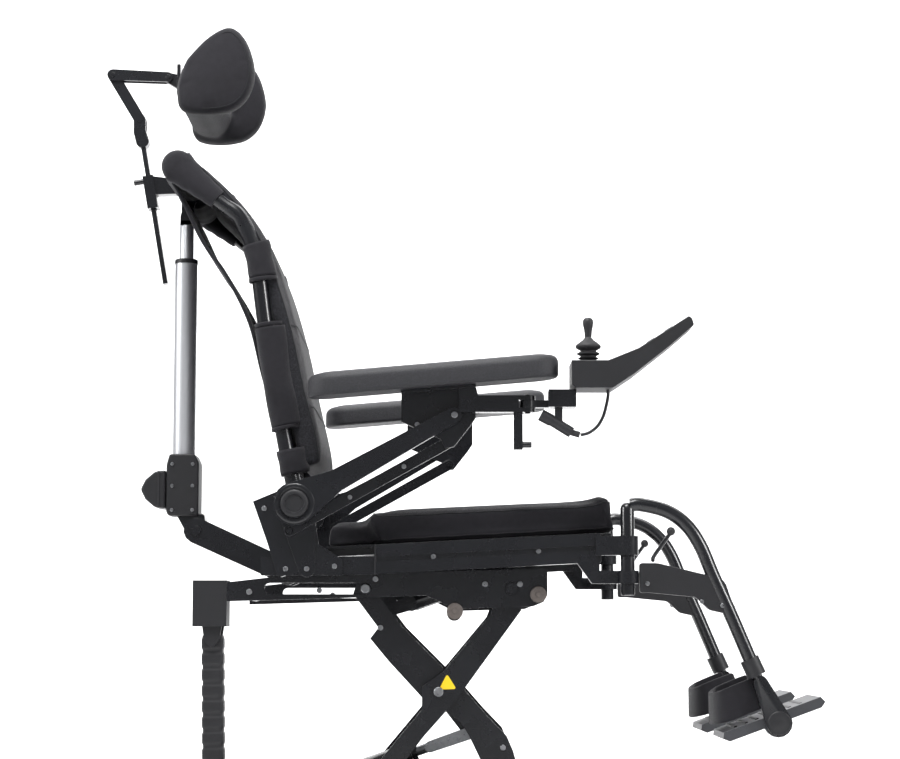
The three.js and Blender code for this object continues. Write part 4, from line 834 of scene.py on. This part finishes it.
rows = 70
face_line = through([(x, 0, z) for x, z in back_face_line], rows)
half_high = np.interp(np.linspace(0, 1, rows), np.linspace(0, 1, 9), back_face_half)
way = np.gradient(face_line, axis=0)
way /= np.linalg.norm(way, axis=1, keepdims=True)
rearward = np.stack([-way[:, 2], 0 * way[:, 0], way[:, 0]], axis=-1)
spread = 0.5 - 0.5 * np.cos(np.linspace(0, math.pi, rows))
centre_line = face_line + rearward * (half_high[:, None] + 2)
even = np.linspace(0, 1, rows)
centre_line = np.stack([np.interp(spread, even, centre_line[:, k]) for k in range(3)], axis=-1)
pad = stuffed("back_pad_cover", centre_line, 200, np.interp(spread, even, half_high), 7.5)
inflated(pad, 6, 6, held=lambda p: np.abs(p[:, 1]) > 400)
fit(pad, "back", "dark_fabric", upholstery, "back_cushion")
pad.data.materials.append(spacer_mesh)
normals = np.empty(len(pad.data.polygons) * 3)
pad.data.polygons.foreach_get("normal", normals)
pad.data.polygons.foreach_set("material_index", (np.abs(normals.reshape(-1, 3)[:, 1]) > 0.6).astype(np.int32))
for side, hand in hands:
    line = face_line[2:-2] + [0, side * 197, 0]
    seam(f"back_pad_piping_{hand}", pad, line, 1.4, "back", binding, closed=False)
for share in (0.2, 0.4, 0.6, 0.8):
    at = face_line[int(share * rows)]
    across_back = np.column_stack([np.full(60, at[0]), np.linspace(-186, 186, 60), np.full(60, at[2])])
    seam(f"back_pad_channel_seam_{int(share * 10)}", pad, across_back, 1.0, "back", binding, closed=False)

# The rear panel: one layer of cloth that is stretched between the sleeves.
rear_line = through([(-250, 0, 832), (-274, 0, 900), (-296, 0, 980), (-317, 0, 1060), (-354, 0, 1134),
                     (-394, 0, 1192), (-428, 0, 1262), (-444, 0, 1290)], 60)
rear_panel = stuffed("back_rear_panel", rear_line, 176, 3.0, 2.5)
fit(rear_panel, "back", "dark_fabric", upholstery)

back_tube_path = through([(x, 0, z) for x, z in back_tube_line], 120)


def sleeve(name, low, high, hand_side, front, rear, half, body="back"):
    """A cloth tube round the back tube between two heights: its ring is a half circle behind the tube and
    a longer half oval in front of it."""
    heights = np.linspace(low, high, max(4, int((high - low) / 4)))
    path = np.stack([np.interp(heights, back_tube_path[:, 2], back_tube_path[:, 0]),
                     np.full(len(heights), hand_side * back_tube_out), heights], axis=-1)
    c, s = circle(32)
    ease = 1 + 0.035 * np.sin(np.linspace(0, 9, len(path)))[:, None] * np.cos(2 * np.arctan2(s, c))[None]
    across = np.where(c > 0, front * c, rear * c)
    shell = surface(name, carried(path, across * ease, half * s * ease), capped=False)
    wall = shell.modifiers.new("cloth_thickness", "SOLIDIFY")
    wall.thickness = 1.8 * MM
    wall.offset = 1.0
    fit(shell, body, "dark_fabric", upholstery)


for side, hand in hands:
    for label, low, high, front in [("top", 1129, 1182, 26), ("long", 889, 1048, 30), ("low", 813, 852, 28)]:
        sleeve(f"back_sleeve_{label}_{hand}", low, high, side, front, 14.6, 15.0)
    for label, low, high in [("upper", 1122, 1128), ("middle", 1049, 1055), ("foot", 884, 889)]:
        sleeve(f"back_sleeve_hem_{label}_{hand}", low, high, side, 27, 15.4, 15.6)
    # The roll: a foam tube over the top bar, covered in cloth, on each side of the headrest's clamp.
    out = 24 + 181 * (0.5 - 0.5 * np.cos(np.linspace(0, math.pi, 30)))
    slim = np.sqrt(np.clip(1 - (np.maximum(0, 14 - np.minimum(out - 24, 205 - out)) / 14) ** 2, 0.02, 1))
    swell = 26.5 + 1.2 * np.sin(out / 11.0) * np.sin(out / 29.0)
    c, s = circle(48)
    drop = 1 + 0.22 * np.clip(-s * 0.5 + c * 0.8, 0, 1)[None] ** 2
    radius = (swell * (0.45 + 0.55 * slim))[:, None] * drop
    roll = surface(f"back_top_roll_{hand}", np.stack([
        -433 + radius * c, np.broadcast_to((side * out)[:, None], radius.shape), 1310 + radius * s], axis=-1))
    fit(roll, "back", "dark_fabric", upholstery)

# The back frame: two bent steel tubes with two cross tubes and the bar under the roll.
for side, hand in hands:
    fit(round_rod(f"back_tube_{hand}", back_tube_path + [0, side * back_tube_out, 0], 12.5, 32),
        "back", "black_steel", powder_coat)
    # The end of the roll's cover runs on down the tube as a tapered cloth sleeve.
    share = np.linspace(0, 1, 26)
    start_point, end_point = np.array([-433.0, 1310.0]), np.array([-368.0, 1256.0])
    down = start_point + share[:, None] * (end_point - start_point)
    sleeve_path = np.column_stack([down[:, 0], np.full(26, side * back_tube_out), down[:, 1]])
    c, s = circle(36)
    girth = (29 - 12.5 * share ** 0.8)[:, None] * (1 + 0.02 * np.sin(23 * share))[:, None]
    half_wide = (17 - share * 1.5)[:, None]
    cover = surface(f"back_top_sleeve_{hand}", carried(sleeve_path, girth * c, half_wide * s))
    fit(cover, "back", "dark_fabric", upholstery)
fit(finished("back_frame", 0.8, "back_frame_clamp_and_bars"),
    "back", "black_steel", powder_coat, "back_frame")


# ---- Headrest --------------------------------------------------------------------------------
# A moulded foam pad with a wing on each side of the head, in a sewn stretch cover, on an aluminium
# linkage with four clamped joints.
wing_outline = through([
    (-428, 1505), (-393, 1541), (-358, 1558), (-334, 1541), (-320, 1508), (-316, 1474), (-327, 1440),
    (-348, 1419), (-376, 1411), (-410, 1410), (-436, 1418), (-441, 1440), (-440, 1470), (-428, 1505)],
    79)[:-1]
middle_outline = through([
    (-438, 1478), (-437, 1430), (-412, 1414), (-390, 1420), (-378, 1450), (-390, 1486), (-418, 1496),
    (-438, 1478)], 49)[:-1]


def disc_pad(name, outline, low, high, soft):
    """A closed pad with that side outline between two distances along Y: the rim is drawn in towards the
    middle of the outline by a quarter circle of radius soft."""
    centre = outline.mean(axis=0)
    reach = outline - centre
    far = np.linalg.norm(reach, axis=1).max()
    a = np.linspace(0, math.pi / 2, 7)
    share = np.concatenate([[0.02, 0.5], 1 - soft / far * (1 - np.sin(a)),
                            1 - soft / far * (1 - np.cos(a[1:])), [0.5, 0.02]])
    out = np.concatenate([[low, low], low + soft * (1 - np.cos(a)), high - soft * (1 - np.sin(a[1:])),
                          [high, high]])
    flat = centre + share[:, None, None] * reach
    return surface(name, np.stack([flat[..., 0], np.broadcast_to(out[:, None], flat.shape[:2]),
                                   flat[..., 1]], axis=-1), sharp=80)


parts = [disc_pad("headrest_cover", wing_outline, 94, 134, 15), disc_pad("wing", wing_outline, -134, -94, 15),
         disc_pad("middle", middle_outline, -110, 110, 15)]
with bpy.context.temp_override(active_object=parts[0], selected_editable_objects=parts):
    bpy.ops.object.join()
head_cover = parts[0]
inflated(head_cover, 4, 4, rounding=10)
fit(head_cover, "headrest", "dark_fabric", upholstery, "headrest_pad")
for side, hand in hands:
    inner = wing_outline.mean(axis=0) + 0.88 * (wing_outline - wing_outline.mean(axis=0))
    ring = np.column_stack([inner[:, 0], np.full(len(inner), side * 136.0), inner[:, 1]])[10:54]
    seam(f"headrest_seam_{hand}", head_cover, ring, 1.1, "headrest", binding, closed=False)


# ---- Armrests --------------------------------------------------------------------------------
# Integral-skin polyurethane pads: foam that makes its own tough, speckled skin in the mould. Each
# is screwed to a plate that a parallelogram of two steel links keeps level.
pad_rear = -217
pad_length = 391
pad_out = 265
pad_end = 37.5

# Integral-skin polyurethane: dark grey, with a coarse leather-like grain of 1.5 mm.
pu_skin, tree, place = start("integral_skin_polyurethane")
grain = put(tree, "ShaderNodeTexVoronoi", {"Vector": place, "Scale": 650.0}, feature="SMOOTH_F1")
speck = noise(tree, place, 900.0, 3.0)
mixed = put(tree, "ShaderNodeMath", {0: grain.outputs[0], 1: 0.8, 2: speck.outputs[0]},
            operation="MULTIPLY_ADD")
shade = put(tree, "ShaderNodeMapRange", {"Value": mixed.outputs[0], "From Min": 0.45, "From Max": 1.2})
# The colour follows the same grain and speckle height as the bumps: painted shade, darker in the pits.
tone = blend(tree, shade.outputs[0], "#121215", "#2b2b30")
lump = bumps(tree, mixed.outputs[0], 0.6, 0.0006)
close(tree, {"Base Color": tone.outputs[2], "Roughness": 0.6, "Normal": lump.outputs[0]})


def pad_under(x):
    """Height of the pad's underside at x."""
    return 926 + (x - pad_rear) * 0.084


for side, hand in hands:
    # Rings of the pad's plan, a straight with half circles, at insets and heights round its section.
    turn = np.linspace(0, math.pi / 2, 9)
    edge_profile = [(30, 0.3), (8, 0.3), *[(6 - 6 * math.sin(a), 6 - 5.7 * math.cos(a)) for a in turn[1:]],
                    *[(14 - 14 * math.cos(a), 24 + 13 * math.sin(a)) for a in turn],
                    (20, 38.6), (27, 39.5), (34, 39.9)]
    plan = np.linspace(0, 2 * math.pi, 96, endpoint=False)
    end_x = np.where(np.cos(plan) >= 0, 1, -1) * (pad_length / 2 - pad_end)
    inset = np.array([d for d, _ in edge_profile])[:, None]
    height = np.array([h for _, h in edge_profile])[:, None]
    reach = pad_end - inset
    x = pad_rear + pad_length / 2 + end_x + reach * np.cos(plan)
    y = side * pad_out + reach * np.sin(plan)
    armpad = surface(f"armrest_pad_skin_{hand}", np.stack([x, y, pad_under(x) + height], axis=-1), sharp=70)
    fit(armpad, f"arm_pad_{hand}", "pad_skin", pu_skin, f"armrest_pad_{hand}")
    # The hub's cap covers the nut of the hinge: a moulded disc with a raised rim.
    cap = surface(f"armrest_hub_cap_{hand}", wheel_grid(
        [(0.3, 274.6), (13.5, 274.6), (14.5, 276.4), (18.5, 276.8), (21, 275.2), (21.4, 270.5)],
        (-236, 763), side, 56))
    fit(cap, f"arm_{hand}", "black_plastic", abs_black)
    ring_out = 270.1
    groove = surface(f"armrest_hub_ring_{hand}", wheel_grid(
        [(23, ring_out), (25, ring_out + 0.9), (29.5, ring_out + 0.9), (31, ring_out)],
        (-236, 763), side, 64), capped=False)
    fit(groove, f"arm_{hand}", "black_steel", powder_coat)
    fit(stamped(f"screws_armrest_bracket_{hand}", [(-46, 887, 256)], 4, 2.4, side),
        f"arm_pad_{hand}", "bright_steel", zinc)
    fit(stamped(f"screws_armrest_front_{hand}", [(12, 901, 270)], 5, 3, side),
        f"arm_{hand}", "bright_steel", zinc)
    fit(stamped(f"screws_armrest_link_{hand}", [(-151, 774, 248), (-67, 822, 248)], 3.6, 2.2, side),
        f"arm_link_{hand}", "bright_steel", zinc)
    fit(stamped(f"screws_back_bracket_{hand}",
                [(-285, 757, 239), (-251, 663, 239), (-218, 663, 240.5), (-175, 667, 239)], 4, 2.4, side),
        "seat", "bright_steel", zinc)
    # Square nuts and screws in the groove of the seat rail, and plastic plugs in its ends.
    fit(stamped(f"screws_seat_rail_{hand}", [(-21, 682.2, 235), (143, 690.5, 235)], 4, 2.4, side),
        "seat", "bright_steel", zinc)
    for label, x0, x1 in [("front", 238, 241), ("rear", -113, -110)]:
        top = under_seat(x0) - 2
        plug = side_plate(f"seat_rail_plug_{label}_{hand}", round_corners(
            [(x0, top - 45), (x1, top - 45), (x1, top), (x0, top)], 1), side * 212.3, side * 237.6, 0.8)
        fit(plug, "seat", "black_plastic", abs_black)


# ---- Joystick --------------------------------------------------------------------------------
# A moulded control box on a swing-away arm. The stick is a turned knob on a rubber bellows.
stick_x = 221
stick_low = 984

# Soft rubber: dull, and a little lighter on its folds.
bellows_rubber, tree, place = start("moulded_rubber")
bloom = noise(tree, place, 200.0, 3.0)
tone = blend(tree, bloom.outputs[0], "#1a1a1c", "#28282b")
close(tree, {"Base Color": tone.outputs[2], "Roughness": 0.62})

bellows = upright_turned("joystick_bellows", (stick_x, -swing_out), [
    (0.5, stick_low - 18), (4, stick_low - 18), (4, stick_low + 2.5), (12, stick_low + 3.5),
    (15.5, stick_low + 5.5), (16, stick_low + 6.5), (12.5, stick_low + 8), (12.5, stick_low + 9.6),
    (17.6, stick_low + 12.2), (17.8, stick_low + 14), (12.4, stick_low + 16.6), (12.4, stick_low + 18),
    (18.8, stick_low + 21.5), (20, stick_low + 24), (19.4, stick_low + 26.5), (14, stick_low + 31),
    (9, stick_low + 34.5), (5.6, stick_low + 38.5), (5.2, stick_low + 40)], 48, 50)
fit(bellows, "joystick_stick", "black_plastic", bellows_rubber, "joystick_stick")
knob = upright_turned("joystick_knob", (stick_x, -swing_out), [
    (0.4, stick_low + 39), (5.4, stick_low + 39.5), (5.7, stick_low + 44), (6.4, stick_low + 51),
    (7.8, stick_low + 57), (8.4, stick_low + 62), (8, stick_low + 66), (6, stick_low + 69),
    (3, stick_low + 70.3), (0.4, stick_low + 70.6)], 48, 60)
fit(knob, "joystick_stick", "black_plastic", abs_black)
fit(finished("joystick_gimbal", 0.4, sharp=28.0),
    "joystick_gimbal", "grey_plastic", abs_grey, "joystick_gimbal")
# Four soft keys on the sloping face in front of the stick.
slope_low, slope_high = np.array([303.0, 1006.0]), np.array([370.0, 1049.0])
along = (slope_high - slope_low) / np.linalg.norm(slope_high - slope_low)
upward = np.array([-along[1], along[0]])
for index, (share, out) in enumerate([(0.2, -284), (0.2, -240), (0.62, -284), (0.62, -240)]):
    at = slope_low + (slope_high - slope_low) * share
    corners = [at + along * a + upward * b for a, b in [(-7, -1), (7, -1), (7, 1.6), (-7, 1.6)]]
    key = side_plate(f"joystick_key_{index}", corners, out - 7, out + 7, 1.0)
    fit(key, "joystick_arm", "grey_plastic", abs_grey)


# ---- Legrests --------------------------------------------------------------------------------
# Bent steel tube hangers that swing on a post at the front of the seat, each with a moulded side
# cover, a release lever, a sliding lower tube and a hinged footplate with a heel loop.
leg_out = 235
post = 282
knee_line = [(286, 762), (303, 763), (343, 753), (373, 732), (395, 700), (415, 652), (442, 591), (480, 500)]
leg_drop = np.array([0.415, -0.91])

# Silver-grey moulded footplates: glass-filled nylon.
foot_nylon, tree, place = start("moulded_grey_nylon")
grain = noise(tree, place, 1200.0, 3.0)
cloud = noise(tree, place, 25.0, 4.0)
tone = blend(tree, cloud.outputs[0], "#2c2d30", "#3e3f43")
lump = bumps(tree, grain.outputs[0], 0.3, 0.0002)
close(tree, {"Base Color": tone.outputs[2], "Roughness": 0.48, "Normal": lump.outputs[0]})

for side, hand in hands:
    hanger = f"hanger_{hand}"
    bend = through([(x, side * leg_out, z) for x, z in knee_line], 110)
    fit(round_rod(f"hanger_tube_{hand}", bend, 11, 32), hanger, "black_steel", powder_coat,
        f"legrest_hanger_{hand}")
    swivel = upright_turned(f"hanger_post_{hand}", (post, side * leg_out), [
        (0.5, 622), (10, 622), (11, 623), (11, 757), (9.5, 762), (6, 765.4), (0.5, 766)], 40)
    fit(swivel, hanger, "black_steel", powder_coat)
    end = np.array([480.0, 500.0])
    collar_path = np.array([[*(end + leg_drop * d)][0:1] + [side * leg_out] + [*(end + leg_drop * d)][1:2]
                            for d in np.linspace(-26, 2, 8)])
    fit(round_rod(f"hanger_collar_{hand}", collar_path, 15, 36), hanger, "black_plastic", abs_black)
    cover = side_plate(f"hanger_cover_{hand}", round_corners([
        (300, 672), (300, 626), (316, 626), (387, 619), (408, 599), (450, 590), (434, 640), (427, 648),
        (328, 672)], 4.5), side * (leg_out - 8), side * (leg_out + 8), 2.2)
    fit(cover, hanger, "black_plastic", abs_black)
    lever_path = through([(321, side * (leg_out + 2), 676), (322, side * (leg_out + 9), 682),
                          (334, side * (leg_out + 10), 699), (348, side * (leg_out + 9), 718)], 24)
    fit(round_rod(f"release_lever_{hand}", lever_path, 3.2, 16), hanger, "black_steel", powder_coat)
    turn = np.linspace(0.05, math.pi - 0.05, 18)
    ball = upright_turned(f"release_lever_ball_{hand}", (349, side * (leg_out + 9)),
                          [(6.8 * math.sin(a), 721 - 6.8 * math.cos(a)) for a in turn], 32, 80)
    fit(ball, hanger, "black_plastic", abs_black)
    fit(stamped(f"screws_hanger_{hand}", [(312, 640, 243), (396, 612, 243), (428, 606, 243)], 3.4, 2, side),
        hanger, "bright_steel", zinc)
    lock = surface(f"footplate_hub_{hand}", wheel_grid(
        [(0.3, 244.5), (8, 244.5), (10, 243.5), (17, 243.5), (19, 241.5), (19.4, 240)],
        (514, 425), side, 48))
    fit(lock, f"leg_{hand}", "black_plastic", abs_black)
    fit(finished(f"footplate_{hand}", 2.2), f"foot_{hand}", "grey_plastic", foot_nylon, f"footplate_{hand}")
    ribs = []
    slope = 0.35
    for k in range(7):
        x0 = 448 + 17 * k
        z0 = 397 + 15 + (x0 - 434) * slope
        ribs.append([(x0, z0 - 1.5), (x0 + 5, z0 - 1.5 + 5 * slope), (x0 + 4.6, z0 + 2 + 5 * slope),
                     (x0 - 0.4, z0 + 2)])
    for k, corners in enumerate(ribs):
        rib = side_plate(f"footplate_rib_{k}_{hand}", corners, side * 98, side * 205, 0.7)
        fit(rib, f"foot_{hand}", "black_plastic", abs_black)
    # The heel loop: a padded band that stands on the footplate behind the heel.
    loop_line = through([(492, side * 92.5, 474), (462, side * 92, 463), (436, side * 97, 452),
                         (423, side * 118, 447), (419, side * 157, 445), (423, side * 196, 447),
                         (436, side * 217, 452), (462, side * 222.5, 463), (490, side * 222.5, 474)], 80)
    loop = stuffed(f"heel_loop_{hand}", loop_line, 25, 3.6, 2.8, side=(0, 0, 1))
    fit(loop, f"foot_{hand}", "dark_fabric", upholstery, f"heel_strap_{hand}")
